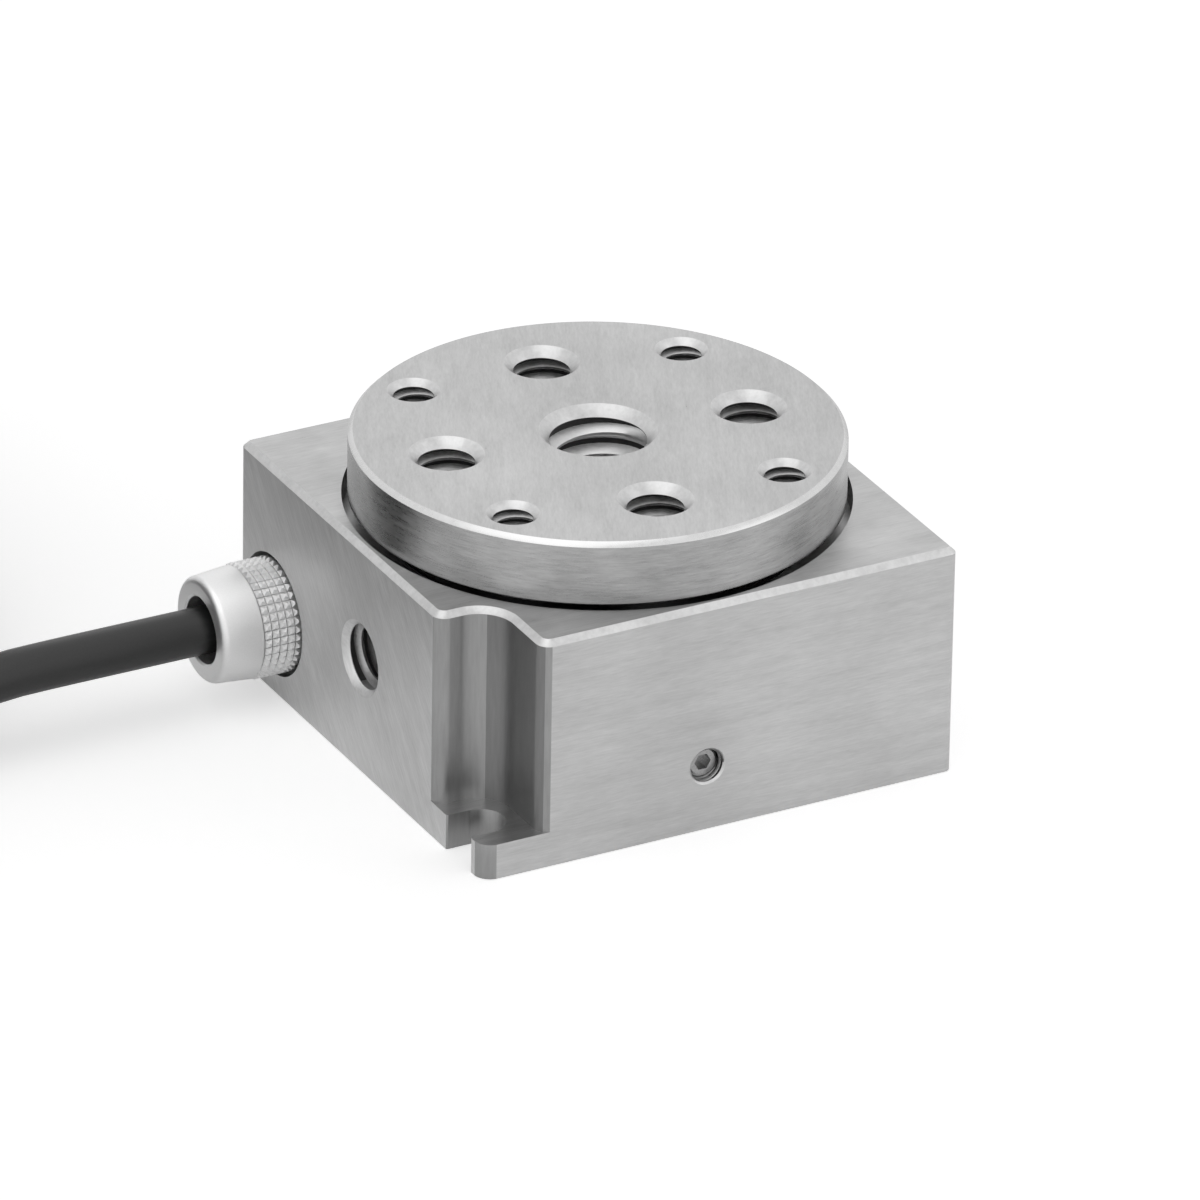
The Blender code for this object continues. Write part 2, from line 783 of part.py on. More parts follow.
def pocket_cutters():
    """The spaces that are milled from below: cavity, motor pocket, lead pocket, cover pocket."""
    low = -CUT_PAST
    room = STATOR_HALF + POCKET_ROOM
    motor = box_outline(
        MOTOR_X - room, MOTOR_X + room, MOTOR_POCKET_Y, -CAVITY_RADIUS / 2, POCKET_ROUND
    )
    lead_x = -HALF + LEAD_POCKET_WALL_X
    lead_y = HALF - LEAD_POCKET_WALL_Y
    lead = box_outline(
        lead_x, lead_x + LEAD_POCKET_WIDE, lead_y - LEAD_POCKET_LONG, lead_y, POCKET_ROUND
    )
    cover = cover_outline(SEAT_GAP)
    return [
        round_cutter("drive_cavity", CAVITY_RADIUS, (0, 0, low), (0, 0, RACE_BOTTOM), MEDIUM),
        plate("motor_pocket", [motor], low, MOTOR_POCKET_TOP, group=CUTTERS),
        plate("lead_pocket", [lead], low, LEAD_POCKET_TOP, group=CUTTERS),
        plate("cover_pocket", [cover], low, COVER_POCKET_TOP, group=CUTTERS),
    ]


def gland_cutters():
    axis = (GLAND_Y, GLAND_Z)
    inside = -HALF + LEAD_POCKET_WALL_X + CUT_PAST
    return [
        round_cutter(
            "gland_counterbore",
            COUNTERBORE_RADIUS,
            (-HALF + COUNTERBORE_DEPTH, *axis),
            (-HALF - CUT_PAST, *axis),
            MEDIUM,
        ),
        round_cutter(
            "gland_hole", SPIGOT_RADIUS + SEAT_GAP, (inside, *axis), (-HALF, *axis), SMALL
        ),
    ]


def side_hole_cutters():
    """The tapped hole in the left face and the adjusting screw's hole in the front face."""
    tap_mouth = (-HALF, 0, SIDE_TAP_HEIGHT)
    radius = SET_SCREW_RADIUS + SEAT_GAP / 2
    depth = HALF + MOTOR_POCKET_Y + CUT_PAST
    screw_mouth = (MOTOR_X, -HALF, DRIVE_HEIGHT)
    chamfer = SET_SCREW_CHAMFER
    return [
        tap_cutter("side_tap", LARGE_TAP_RADIUS, SIDE_TAP_DEPTH, tap_mouth, (-1, 0, 0)),
        tap_cutter("set_screw_hole", radius, depth, screw_mouth, (0, -1, 0), chamfer),
    ]


def screw_hole_cutters(name, spots, sizes, low, high):
    """Upright holes with a gap round the thread."""
    radius = sizes[0] + SEAT_GAP
    return [
        round_cutter(f"{name}_{k}", radius, (*spot[:2], low), (*spot[:2], high), TINY)
        for k, spot in enumerate(spots, 1)
    ]


def stage_body():
    """The square body: one block with two clamping feet, bored for the bearing from above
    and hollowed for the motor from below."""
    body = plate(
        "stage_body", [upper_outline()], FOOT_HEIGHT / 2, BODY_HEIGHT, brushed_stainless()
    )
    edge = body.modifiers.new("top_edge", "BEVEL")
    edge.width = TOP_CHAMFER
    edge.segments = 1
    edge.limit_method = "ANGLE"
    edge.angle_limit = math.radians(60.0)
    join(body, plate("foot_plate", [foot_outline()], 0.0, FOOT_HEIGHT, group=CUTTERS))
    cover_threads = screw_hole_cutters(
        "cover_thread", cover_screw_spots(), COVER_SCREW, COVER_INSET, COVER_TOP + 3.2 * MM
    )
    motor_threads = screw_hole_cutters(
        "motor_thread",
        motor_screw_spots(),
        MOTOR_SCREW,
        COVER_POCKET_TOP,
        MOTOR_POCKET_TOP + MOTOR_THREAD_DEPTH + 0.3 * MM,
    )
    cut(
        body,
        *bearing_cutters(),
        *pocket_cutters(),
        *gland_cutters(),
        *side_hole_cutters(),
        *cover_threads,
        *motor_threads,
    )
    return body


def bottom_cover():
    cover = plate(
        "bottom_cover", [cover_outline(0.0)], COVER_INSET, COVER_TOP, brushed_stainless()
    )
    tools = screw_hole_cutters(
        "board_thread",
        board_screw_spots(),
        BOARD_SCREW,
        COVER_INSET + 0.3 * MM,
        COVER_TOP + CUT_PAST,
    )
    for k, (x, y) in enumerate(cover_screw_spots(), 1):
        tools.append(sink_cutter(f"cover_hole_{k}", COVER_SCREW, (x, y, COVER_INSET)))
    cut(cover, *tools)
    return cover


def bottom_cover_screws():
    template = turned(
        "cover_screw", flat_screw_profile(COVER_SCREW, COVER_THICK + 2.6 * MM), TINY
    )
    places = hanging([(x, y, COVER_INSET) for x, y in cover_screw_spots()])
    return copies("cover_screw", template, places, screw_steel())


def groove(side, steps=5):
    """The arc of a ball groove in a race: side is -1 on the inner race, +1 on the outer."""
    radius = BALL_RADIUS + SEAT_GAP
    half_angle = math.acos(RACE_APART / 2 / radius)
    angles = [half_angle * (1 - 2 * k / steps) for k in range(steps + 1)]
    return [
        (PITCH_RADIUS + side * radius * math.cos(angle), RACE_MIDDLE + radius * math.sin(angle))
        for angle in angles
    ]


def bearing_outer_ring():
    profile = [
        (OUTER_RACE_OUTSIDE, RACE_TOP),
        (OUTER_RACE_OUTSIDE, RACE_BOTTOM),
        (OUTER_RACE_INSIDE, RACE_BOTTOM),
        *reversed(groove(1)),
        (OUTER_RACE_INSIDE, RACE_TOP),
    ]
    return turned("bearing_outer_ring", profile, MEDIUM, bearing_steel())


def bearing_inner_ring():
    profile = [
        (INNER_RACE_OUTSIDE, RACE_TOP),
        *groove(-1),
        (INNER_RACE_OUTSIDE, RACE_BOTTOM),
        (INNER_RACE_BORE, RACE_BOTTOM),
        (INNER_RACE_BORE, RACE_TOP),
    ]
    return turned("bearing_inner_ring", profile, MEDIUM, bearing_steel())


def bearing_balls():
    ball = bmesh.new()
    bmesh.ops.create_uvsphere(ball, u_segments=12, v_segments=8, radius=BALL_RADIUS)
    mesh = bpy.data.meshes.new("ball")
    ball.to_mesh(mesh)
    ball.free()
    places = standing(around(PITCH_RADIUS, BALLS, 0.0, RACE_MIDDLE))
    return copies("bearing_ball", add("ball", mesh), places, bearing_steel())


def bearing_cage():
    inside = PITCH_RADIUS - CAGE_THICK / 2
    outside = PITCH_RADIUS + CAGE_THICK / 2
    low = RACE_MIDDLE - CAGE_WIDTH / 2
    high = RACE_MIDDLE + CAGE_WIDTH / 2
    profile = [(outside, high), (outside, low), (inside, low), (inside, high)]
    cage = turned("bearing_cage", profile, MEDIUM, cage_brass())
    tools = []
    for k in range(BALLS):
        angle = 2 * math.pi * k / BALLS
        start = polar(inside - CUT_PAST, angle, RACE_MIDDLE)
        end = polar(outside + CUT_PAST, angle, RACE_MIDDLE)
        tools.append(round_cutter(f"ball_pocket_{k}", BALL_RADIUS + SEAT_GAP, start, end, TINY))
    cut(cage, *tools)
    return cage


def bearing_retainer():
    """The thin threaded ring that holds the outer race down, with holes for a pin spanner."""
    low = RACE_TOP + SEAT_GAP
    outside = RETAINER_RADIUS - SEAT_GAP
    inside = OUTER_RACE_OUTSIDE - RETAINER_OVERLAP
    profile = [
        (outside, RECESS_FLOOR),
        (outside, low),
        (inside, low),
        (inside, RECESS_FLOOR),
    ]
    ring = turned("bearing_retainer", profile, MEDIUM, blackened_steel())
    tools = []
    spots = around((inside + outside) / 2, SPANNER_HOLES, HOLES_TURNED, low)
    for k, (x, y, z) in enumerate(spots, 1):
        start = (x, y, z - CUT_PAST)
        end = (x, y, z + RETAINER_THICK + CUT_PAST)
        tools.append(round_cutter(f"spanner_hole_{k}", SPANNER_HOLE_RADIUS, start, end, TINY))
    cut(ring, *tools)
    return ring


def platform():
    """The turntable: plate, shoulder over the inner race and spindle in one piece, with its
    tapped holes at the threads' outside diameters."""
    shoulder = INNER_RACE_BORE + SPINDLE_SHOULDER
    profile = [
        (PLATE_RADIUS - PLATE_CHAMFER, PLATE_TOP),
        (PLATE_RADIUS, PLATE_TOP - PLATE_CHAMFER),
        (PLATE_RADIUS, PLATE_BOTTOM + PLATE_LOWER_CHAMFER),
        (PLATE_RADIUS - PLATE_LOWER_CHAMFER, PLATE_BOTTOM),
        (shoulder, PLATE_BOTTOM),
        (shoulder, RACE_TOP + SEAT_GAP),
        (SPINDLE_RADIUS, RACE_TOP + SEAT_GAP),
        (SPINDLE_RADIUS, SPINDLE_BOTTOM),
        (CENTRE_TAP_RADIUS, SPINDLE_BOTTOM),
        (CENTRE_TAP_RADIUS, PLATE_TOP - TAP_CHAMFER),
        (CENTRE_TAP_RADIUS + TAP_CHAMFER, PLATE_TOP),
    ]
    table = turned("platform", profile, FINE, brushed_stainless())
    between = HOLES_TURNED + math.pi / SMALL_TAPS
    patterns = (
        ("large_tap", LARGE_TAP_RADIUS, around(LARGE_TAP_RING, LARGE_TAPS, HOLES_TURNED, 0)),
        ("small_tap", SMALL_TAP_RADIUS, around(SMALL_TAP_RING, SMALL_TAPS, between, 0)),
    )
    depth = PLATE_THICK + CUT_PAST
    tools = screw_hole_cutters(
        "hub_thread",
        hub_screw_spots(0.0),
        HUB_SCREW,
        SPINDLE_BOTTOM - CUT_PAST,
        SPINDLE_BOTTOM + 3.0 * MM,
    )
    for name, radius, spots in patterns:
        for k, (x, y, _) in enumerate(spots, 1):
            mouth = (x, y, PLATE_TOP)
            tools.append(tap_cutter(f"{name}_{k}", radius, depth, mouth, (0, 0, 1)))
    cut(table, *tools)
    return table


def rotor_hub():
    """The flanged hub screwed under the spindle: it holds the inner race up against the
    spindle's shoulder, and carries the drive ring and the scale."""
    profile = [
        (HUB_RADIUS, HUB_TOP),
        (HUB_RADIUS, HUB_BOTTOM),
        (HUB_BORE, HUB_BOTTOM),
        (HUB_BORE, HUB_TOP),
    ]
    hub = turned("rotor_hub", profile, MEDIUM, brushed_stainless())
    thread, head, _ = HUB_SCREW
    hole = [
        (0.0, HUB_TOP + CUT_PAST),
        (thread + SEAT_GAP, HUB_TOP + CUT_PAST),
        (thread + SEAT_GAP, HUB_HEAD_SEAT),
        (head + SEAT_GAP, HUB_HEAD_SEAT),
        (head + SEAT_GAP, HUB_BOTTOM - CUT_PAST),
        (0.0, HUB_BOTTOM - CUT_PAST),
    ]
    tools = []
    for k, spot in enumerate(hub_screw_spots(0.0), 1):
        tools.append(turned(f"hub_hole_{k}", hole, TINY, group=CUTTERS))
        tools[-1].location = spot
    cut(hub, *tools)
    return hub


def rotor_hub_screws():
    length = HUB_TOP - HUB_HEAD_SEAT + 2.6 * MM
    template = turned("hub_screw", cap_screw_profile(HUB_SCREW, length), TINY)
    places = hanging(hub_screw_spots(HUB_HEAD_SEAT - SEAT_GAP))
    return copies("hub_screw", template, places, screw_steel())


def drive_ring():
    """The hard ring round the hub that the motor's tip rubs on."""
    low = DRIVE_HEIGHT - DRIVE_RING_TALL / 2
    high = DRIVE_HEIGHT + DRIVE_RING_TALL / 2
    inside = HUB_RADIUS + SEAT_GAP
    profile = [
        (DRIVE_RING_RADIUS, high),
        (DRIVE_RING_RADIUS, low),
        (inside, low),
        (inside, high),
    ]
    return turned("drive_ring", profile, MEDIUM, white_ceramic())


def encoder_scale():
    low = SCALE_TOP - SCALE_THICK
    profile = [
        (SCALE_RADIUS, SCALE_TOP),
        (SCALE_RADIUS, low),
        (SCALE_BORE, low),
        (SCALE_BORE, SCALE_TOP),
    ]
    return turned("encoder_scale", profile, MEDIUM, scale_chrome())


def motor_stator():
    """The frame of the motor: a window holds the piezo stack, a thin beam carries the tip."""
    window_half = PIEZO_HALF + SEAT_GAP
    outer = box_outline(
        MOTOR_X - STATOR_HALF, MOTOR_X + STATOR_HALF, STATOR_BACK_Y, STATOR_FRONT_Y, 0.4 * MM
    )
    window = box_outline(
        MOTOR_X - window_half,
        MOTOR_X + window_half,
        STATOR_BACK_Y + STATOR_BACK,
        STATOR_FRONT_Y - STATOR_BEAM,
        0.2 * MM,
        TINY,
    )
    stator = plate("motor_stator", [outer, window], STATOR_LOW, STATOR_HIGH, screw_steel())
    low = STATOR_LOW - CUT_PAST
    high = STATOR_HIGH + CUT_PAST
    tools = screw_hole_cutters("stator_hole", motor_screw_spots(), MOTOR_SCREW, low, high)
    for k, side in enumerate((-1, 1), 1):
        spot = (MOTOR_X + side * PIEZO_HALF, STATOR_FRONT_Y)
        neck = STATOR_BEAM / 2
        tools.append(round_cutter(f"hinge_neck_{k}", neck, (*spot, low), (*spot, high), TINY))
    cut(stator, *tools)
    return stator


def motor_screws():
    seat = STATOR_LOW - SEAT_GAP
    length = MOTOR_POCKET_TOP + MOTOR_THREAD_DEPTH - seat
    template = turned("motor_screw", cap_screw_profile(MOTOR_SCREW, length), TINY)
    places = hanging([(x, y, seat) for x, y in motor_screw_spots()])
    return copies("motor_screw", template, places, screw_steel())


def piezo_stack():
    front = STATOR_FRONT_Y - STATOR_BEAM - SEAT_GAP
    back = STATOR_BACK_Y + STATOR_BACK + SEAT_GAP
    centre = (MOTOR_X, (front + back) / 2, DRIVE_HEIGHT)
    return block("piezo_stack", centre, (2 * PIEZO_HALF, front - back, PIEZO_TALL), piezo_ceramic())


def friction_tip():
    left = MOTOR_X - TIP_HALF
    right = MOTOR_X + TIP_HALF
    back = TIP_FRONT_Y - TIP_DEEP
    corners = [
        (left, TIP_FRONT_Y, TIP_ROUND),
        (left, back, TIP_ROUND / 4),
        (right, back, TIP_ROUND / 4),
        (right, TIP_FRONT_Y, TIP_ROUND),
    ]
    low = DRIVE_HEIGHT - TIP_TALL / 2
    return plate("friction_tip", [rounded(corners, SMALL)], low, low + TIP_TALL, white_ceramic())


def leaf_y(x):
    """The bowed leaf's inner face, furthest from the stator in the middle."""
    share = (x - MOTOR_X) / LEAF_HALF
    return STATOR_BACK_Y - SEAT_GAP - LEAF_BOW * (1 - share * share)


def preload_leaf():
    """The bowed leaf spring between the adjusting screw and the back of the motor."""
    stops = [MOTOR_X + LEAF_HALF * k / 5 for k in range(-5, 6)]
    inner = [(x, leaf_y(x)) for x in stops]
    outer = [(x, leaf_y(x) - LEAF_THICK) for x in reversed(stops)]
    low = DRIVE_HEIGHT - LEAF_TALL / 2
    return plate("preload_leaf", [inner + outer], low, low + LEAF_TALL, bearing_steel())


def preload_screw():
    """The hex-socket screw in the front face that sets how hard the tip presses."""
    mouth = -HALF + SET_SCREW_SUNK
    tip = leaf_y(MOTOR_X) - LEAF_THICK - SEAT_GAP
    length = tip - mouth
    narrow = SET_SCREW_RADIUS - SET_SCREW_CHAMFER
    profile = [
        (0.0, length),
        (narrow, length),
        (SET_SCREW_RADIUS, length - SET_SCREW_CHAMFER),
        (SET_SCREW_RADIUS, SET_SCREW_CHAMFER),
        (narrow, 0.0),
        (0.0, 0.0),
    ]
    screw = turned("preload_screw", profile, SMALL, screw_steel())
    screw.matrix_world = Matrix.Translation((MOTOR_X, tip, DRIVE_HEIGHT)) @ along((0, -1, 0))
    socket = round_cutter(
        "hex_socket",
        SET_SCREW_HEX / math.sqrt(3),
        (MOTOR_X, mouth + SET_SCREW_HEX_DEPTH, DRIVE_HEIGHT),
        (MOTOR_X, mouth - CUT_PAST, DRIVE_HEIGHT),
        6,
    )
    cut(screw, socket)
    return screw


def encoder_board():
    """The round board on the cover, cut straight in front of the motor."""
    start = -math.asin(BOARD_FRONT / BOARD_RADIUS)
    sweep = math.pi - 2 * start
    outline = [polar(BOARD_RADIUS, start + sweep * k / 32).to_2d() for k in range(33)]
    board = plate("encoder_board", [outline], BOARD_BOTTOM, BOARD_TOP, circuit_board())
    low = BOARD_BOTTOM - CUT_PAST
    high = BOARD_TOP + CUT_PAST
    cut(board, *screw_hole_cutters("board_hole", board_screw_spots(), BOARD_SCREW, low, high))
    return board


def encoder_board_screws():
    length = BOARD_TOP - COVER_INSET - 0.5 * MM
    template = turned("board_screw", cap_screw_profile(BOARD_SCREW, length), TINY)
    places = standing([(*spot[:2], BOARD_TOP + SEAT_GAP) for spot in board_screw_spots()])
    return copies("board_screw", template, places, screw_steel())


def encoder_sensor():
    """The reading head under the scale's track."""
    track = (SCALE_BORE + SCALE_RADIUS) / 2
    centre = (0.0, track, BOARD_TOP + SEAT_GAP + SENSOR_SIZE[2] / 2)
    return block("encoder_sensor", centre, SENSOR_SIZE, black_plastic())


def lead_header():
    """The small connector on the board that takes the cable's leads."""
    centre = polar(HEADER_RING, HEADER_ANGLE, HEADER_TOP - HEADER_SIZE[2] / 2)
    header = block("lead_header", centre, HEADER_SIZE, grey_plastic())
    header.rotation_euler = (0.0, 0.0, HEADER_ANGLE - math.pi / 2)
    return header


def signal_leads():
    """The cable's leads inside the body, from its jacket's end to the board's header."""
    across = polar(1.0, HEADER_ANGLE + math.pi / 2)
    over = polar(HEADER_RING, HEADER_ANGLE, HEADER_TOP + SEAT_GAP)
    jacket_end = -HALF + CABLE_INSIDE
    wires = []
    for k in range(LEADS):
        spread = k - (LEADS - 1) / 2
        line = GLAND_Y - spread * LEAD_SPACING
        end = over + across * spread * LEAD_SPACING
        route = [
            Vector((jacket_end + RUN_GAP, line, GLAND_Z)),
            Vector((jacket_end + 2.6 * MM, line, GLAND_Z)),
            end + Vector((-0.9, 1.7, 1.1)) * MM,
            end + Vector((-0.4, 0.5, 0.8)) * MM,
            end,
        ]
        points = smooth_line(route, 9)
        wires.append(tube(f"signal_lead_{k + 1}", points, LEAD_RADIUS, grey_plastic(), 1))
    return wires


def out_of_left_face():
    """The gland's place: height 0 on the left face, heights growing to the left."""
    return Matrix.Translation((-HALF, GLAND_Y, GLAND_Z)) @ along((-1, 0, 0))


def cable_ferrule():
    """The knurled collar that closes the gland, with its nose rounded over."""
    centre = (FERRULE_NOSE_RADIUS - FERRULE_NOSE_ROUND, FERRULE_REACH - FERRULE_NOSE_ROUND)
    nose = []
    for k in range(4):
        angle = math.pi / 2 * (1 - k / 3)
        radius = centre[0] + FERRULE_NOSE_ROUND * math.cos(angle)
        nose.append((radius, centre[1] + FERRULE_NOSE_ROUND * math.sin(angle)))
    profile = [
        *nose,
        (FERRULE_NECK_RADIUS, FERRULE_KNURL_REACH),
        (FERRULE_KNURL_RADIUS, FERRULE_KNURL_REACH),
        (FERRULE_KNURL_RADIUS, -FERRULE_SUNK),
        (FERRULE_BORE, -FERRULE_SUNK),
        (FERRULE_BORE, FERRULE_SHOULDER),
        (FERRULE_MOUTH_RADIUS, FERRULE_SHOULDER),
        (FERRULE_MOUTH_RADIUS, FERRULE_REACH),
    ]
    ferrule = turned("cable_ferrule", profile, MEDIUM, anodised_aluminium())
    ferrule.matrix_world = out_of_left_face()
    return ferrule


def gland_spigot():
    """The tube that is screwed into the body and carries the collar."""
    rim = SPIGOT_RADIUS + SPIGOT_COLLAR
    collar_top = -FERRULE_SUNK - SEAT_GAP
    collar_bottom = -COUNTERBORE_DEPTH + SEAT_GAP
    profile = [
        (SPIGOT_RADIUS, SPIGOT_TOP),
        (SPIGOT_RADIUS, collar_top),
        (rim, collar_top),
        (rim, collar_bottom),
        (SPIGOT_RADIUS, collar_bottom),
        (SPIGOT_RADIUS, -SPIGOT_INSIDE),
        (SPIGOT_BORE, -SPIGOT_INSIDE),
        (SPIGOT_BORE, SPIGOT_TOP),
    ]
    spigot = turned("gland_spigot", profile, SMALL, screw_steel())
    spigot.matrix_world = out_of_left_face()
    return spigot


def cable_seal():
    """The rubber ring that the collar squeezes round the cable."""
    outside = FERRULE_BORE - SEAT_GAP
    low = SEAL_TOP - SEAL_LENGTH
    profile = [(outside, SEAL_TOP), (outside, low), (SPIGOT_BORE, low), (SPIGOT_BORE, SEAL_TOP)]
    seal = turned("cable_seal", profile, SMALL, black_rubber())
    seal.matrix_world = out_of_left_face()
    return seal


def cable_run():
    """The cable from inside the gland to where it joins the coil's lowest turn."""
    start = -HALF + CABLE_INSIDE
    reaches = ((0.0, 0.0), (8.1, 0.0), (17.0, 0.02), (20.5, -0.05), (23.7, -0.45))
    route = [Vector((start - x * MM, GLAND_Y, GLAND_Z + z * MM)) for x, z in reaches]
    route.append(Vector((COIL_X + 11.1 * MM, GLAND_Y, COIL_LIFT + 3.0 * MM)))
    return tube("cable_run", smooth_line(route, 12), CABLE_RADIUS, cable_jacket())


def cable_tail():
    """The cable from the coil's top turn to the plug; its last points lie on the boot's axis."""
    top = COIL_TOP - TURN_PITCH / 2
    leaving = ((2.0, 20.0, 3.2), (11.0, 20.0, 3.5), (17.5, 19.8, 4.1), (24.8, 16.8, 5.5))
    turn_round = ((27.8, 10.0, 7.3), (24.8, 3.1, 8.9), (20.5, 0.4, 9.35))
    coil = Vector((COIL_X, COIL_Y, top))
    route = [coil + Vector(step) * MM for step in leaving + turn_round]
    route.append(plug_place(-HOOD_BACK - BOOT_LENGTH))
    route.append(plug_place(-HOOD_BACK - BOOT_LENGTH + BOOT_CABLE_DEPTH - RUN_GAP))
    return tube("cable_tail", smooth_line(route, 24), CABLE_RADIUS, cable_jacket())


def cable_coil():
    """The outer shape of the wound turns."""
    low = COIL_LIFT
    soft = CABLE_RADIUS
    profile = [
        (COIL_OUTSIDE - soft, COIL_TOP),
        (COIL_OUTSIDE, COIL_TOP - soft),
        (COIL_OUTSIDE, low + soft),
        (COIL_OUTSIDE - soft, low),
        (COIL_INSIDE + soft, low),
        (COIL_INSIDE, low + soft),
        (COIL_INSIDE, COIL_TOP - soft),
        (COIL_INSIDE + soft, COIL_TOP),
    ]
    coil = turned("cable_coil", profile, MEDIUM, cable_jacket())
    coil.location = (COIL_X, COIL_Y, 0.0)
    return coil


def coil_ties():
    """Two flat ties round the bundle of turns."""
    loops = []
    for grow in (TIE_GAP + TIE_THICK, TIE_GAP):
        loops.append(
            box_outline(
                COIL_INSIDE - grow,
                COIL_OUTSIDE + grow,
                COIL_LIFT - grow,
                COIL_TOP + grow,
                grow + TIE_ROUND,
                TINY,
            )
        )
    template = plate("tie", loops, -TIE_WIDTH / 2, TIE_WIDTH / 2)
    middle = Matrix.Translation((COIL_X, COIL_Y, 0.0))
    upright = Matrix.Rotation(math.pi / 2, 4, "X")
    places = []
    for angle in TIE_ANGLES:
        places.append(middle @ Matrix.Rotation(math.radians(angle), 4, "Z") @ upright)
    return copies("coil_tie", template, places, black_plastic())


def plug_frame():
    """The plug's own place: +X towards the pins, +Z up."""
    return Matrix.Translation((*PLUG_AT, PLUG_Z)) @ Matrix.Rotation(PLUG_YAW, 4, "Z")


def plug_place(reach, side=0.0, up=0.0):
    return plug_frame() @ Vector((reach, side, up))


def across_plug(reach):
    """The plane across the plug at a reach: x is its side, y is up, z points to the pins."""
    turn = Matrix(((0, 0, 1, 0), (1, 0, 0, 0), (0, 1, 0, 0), (0, 0, 0, 1)))
    return plug_frame() @ Matrix.Translation((reach, 0, 0)) @ turn


def hood_outline():
    """The hood seen from above: its tail, its shoulders and the ears for the jackscrews."""
    ear_back = HOOD_FRONT - EAR_DEEP
    upper = [
        (HOOD_FRONT, EAR_WIDTH / 2, HOOD_EDGE),
        (ear_back, EAR_WIDTH / 2, HOOD_EDGE),
        (ear_back, HOOD_WIDTH / 2, HOOD_EDGE),
        (-HOOD_SHOULDER, HOOD_WIDTH / 2, HOOD_ROUND * 2),
        (-HOOD_BACK, HOOD_TAIL_WIDTH / 2, HOOD_ROUND),
    ]
    lower = [(x, -y, radius) for x, y, radius in reversed(upper)]
    return rounded(upper + lower, SMALL)


def hood_screw_spots():
    """Where the screws that join the hood's halves stand, as (reach, side)."""
    side = HOOD_WIDTH / 2 - HOOD_WALL - HOOD_SCREW[1]
    return [(-HOOD_SHOULDER + 3.0 * MM, -side), (HOOD_FRONT - 8.0 * MM, side)]


def hood_pocket():
    """The space inside the hood, which passes the two screws and is open towards the pins."""
    side = HOOD_WIDTH / 2 - HOOD_WALL
    inner = HOOD_SHOULDER - HOOD_WALL
    front = HOOD_FRONT + CUT_PAST
    (back_x, back_y), (front_x, front_y) = hood_screw_spots()
    corners = [
        (front, side, HOOD_EDGE),
        (front_x + HOOD_BOSS, side, HOOD_EDGE),
        (front_x + HOOD_BOSS, front_y - HOOD_BOSS, HOOD_EDGE),
        (front_x - HOOD_BOSS, front_y - HOOD_BOSS, HOOD_EDGE),
        (front_x - HOOD_BOSS, side, HOOD_EDGE),
        (-inner, side, HOOD_EDGE),
        (-inner, back_y + HOOD_BOSS, HOOD_EDGE),
        (back_x + HOOD_BOSS, back_y + HOOD_BOSS, HOOD_EDGE),
        (back_x + HOOD_BOSS, -side, HOOD_EDGE),
        (front, -side, HOOD_EDGE),
    ]
    half = HOOD_THICK / 2 - HOOD_WALL
    outline = rounded(corners, TINY)
    return plate("hood_pocket", [outline], -half, half, group=CUTTERS, place=plug_frame())


def hood_cutters():
    """What is taken out of both halves of the hood: pocket, screw holes and boot seat."""
    thread, head, tall = HOOD_SCREW
    top = HOOD_THICK / 2
    seat = top - tall - SEAT_GAP
    hole = [
        (0.0, top + CUT_PAST),
        (head + SEAT_GAP, top + CUT_PAST),
        (head + SEAT_GAP, seat),
        (thread + SEAT_GAP, seat),
        (thread + SEAT_GAP, -top + 3.0 * MM),
        (0.0, -top + 3.0 * MM),
    ]
    tools = [hood_pocket()]
    for k, (reach, across) in enumerate(hood_screw_spots(), 1):
        tools.append(turned(f"hood_screw_hole_{k}", hole, TINY, group=CUTTERS))
        tools[-1].matrix_world = plug_frame() @ Matrix.Translation((reach, across, 0))
    for k, spread in enumerate((-1, 1), 1):
        across = spread * JACK_SPREAD / 2
        start = plug_place(HOOD_FRONT - EAR_DEEP - CUT_PAST, across)
        end = plug_place(HOOD_FRONT + CUT_PAST, across)
        tools.append(round_cutter(f"ear_hole_{k}", JACK_RADIUS + RUN_GAP, start, end, SMALL))
    start = plug_place(-HOOD_BACK - CUT_PAST)
    end = plug_place(-HOOD_BACK + BOOT_FOOT + SEAT_GAP)
    radius = BOOT_BASE_RADIUS - BOOT_STEP + SEAT_GAP
    tools.append(round_cutter("boot_seat", radius, start, end, SMALL))
    return tools


def hood_half(name, side, tools):
    """One half of the hood, below the parting plane for side -1 and above it for +1."""
    near = side * SEAT_GAP / 2
    far = side * HOOD_THICK / 2
    low = min(near, far)
    half = plate(name, [hood_outline()], low, max(near, far), grey_plastic(), place=plug_frame())
    cut(half, *tools)
    return half


def hood_screws():
    _, _, tall = HOOD_SCREW
    template = turned("hood_screw", cap_screw_profile(HOOD_SCREW, 8.0 * MM), TINY)
    places = [
        plug_frame() @ Matrix.Translation((reach, across, HOOD_THICK / 2 - tall))
        for reach, across in hood_screw_spots()
    ]
    return copies("hood_screw", template, places, screw_steel())


def d_outline(shrink):
    """The D-shaped outline of the plug's face, wider at the top, shrunk all round."""
    half = SHELL_WIDTH / 2 - shrink
    up = SHELL_TALL / 2 - shrink
    corner = SHELL_ROUND - shrink
    corners = [
        (-half, up, corner),
        (-half + SHELL_SLANT, -up, corner),
        (half - SHELL_SLANT, -up, corner),
        (half, up, corner),
    ]
    return rounded(corners, SMALL)


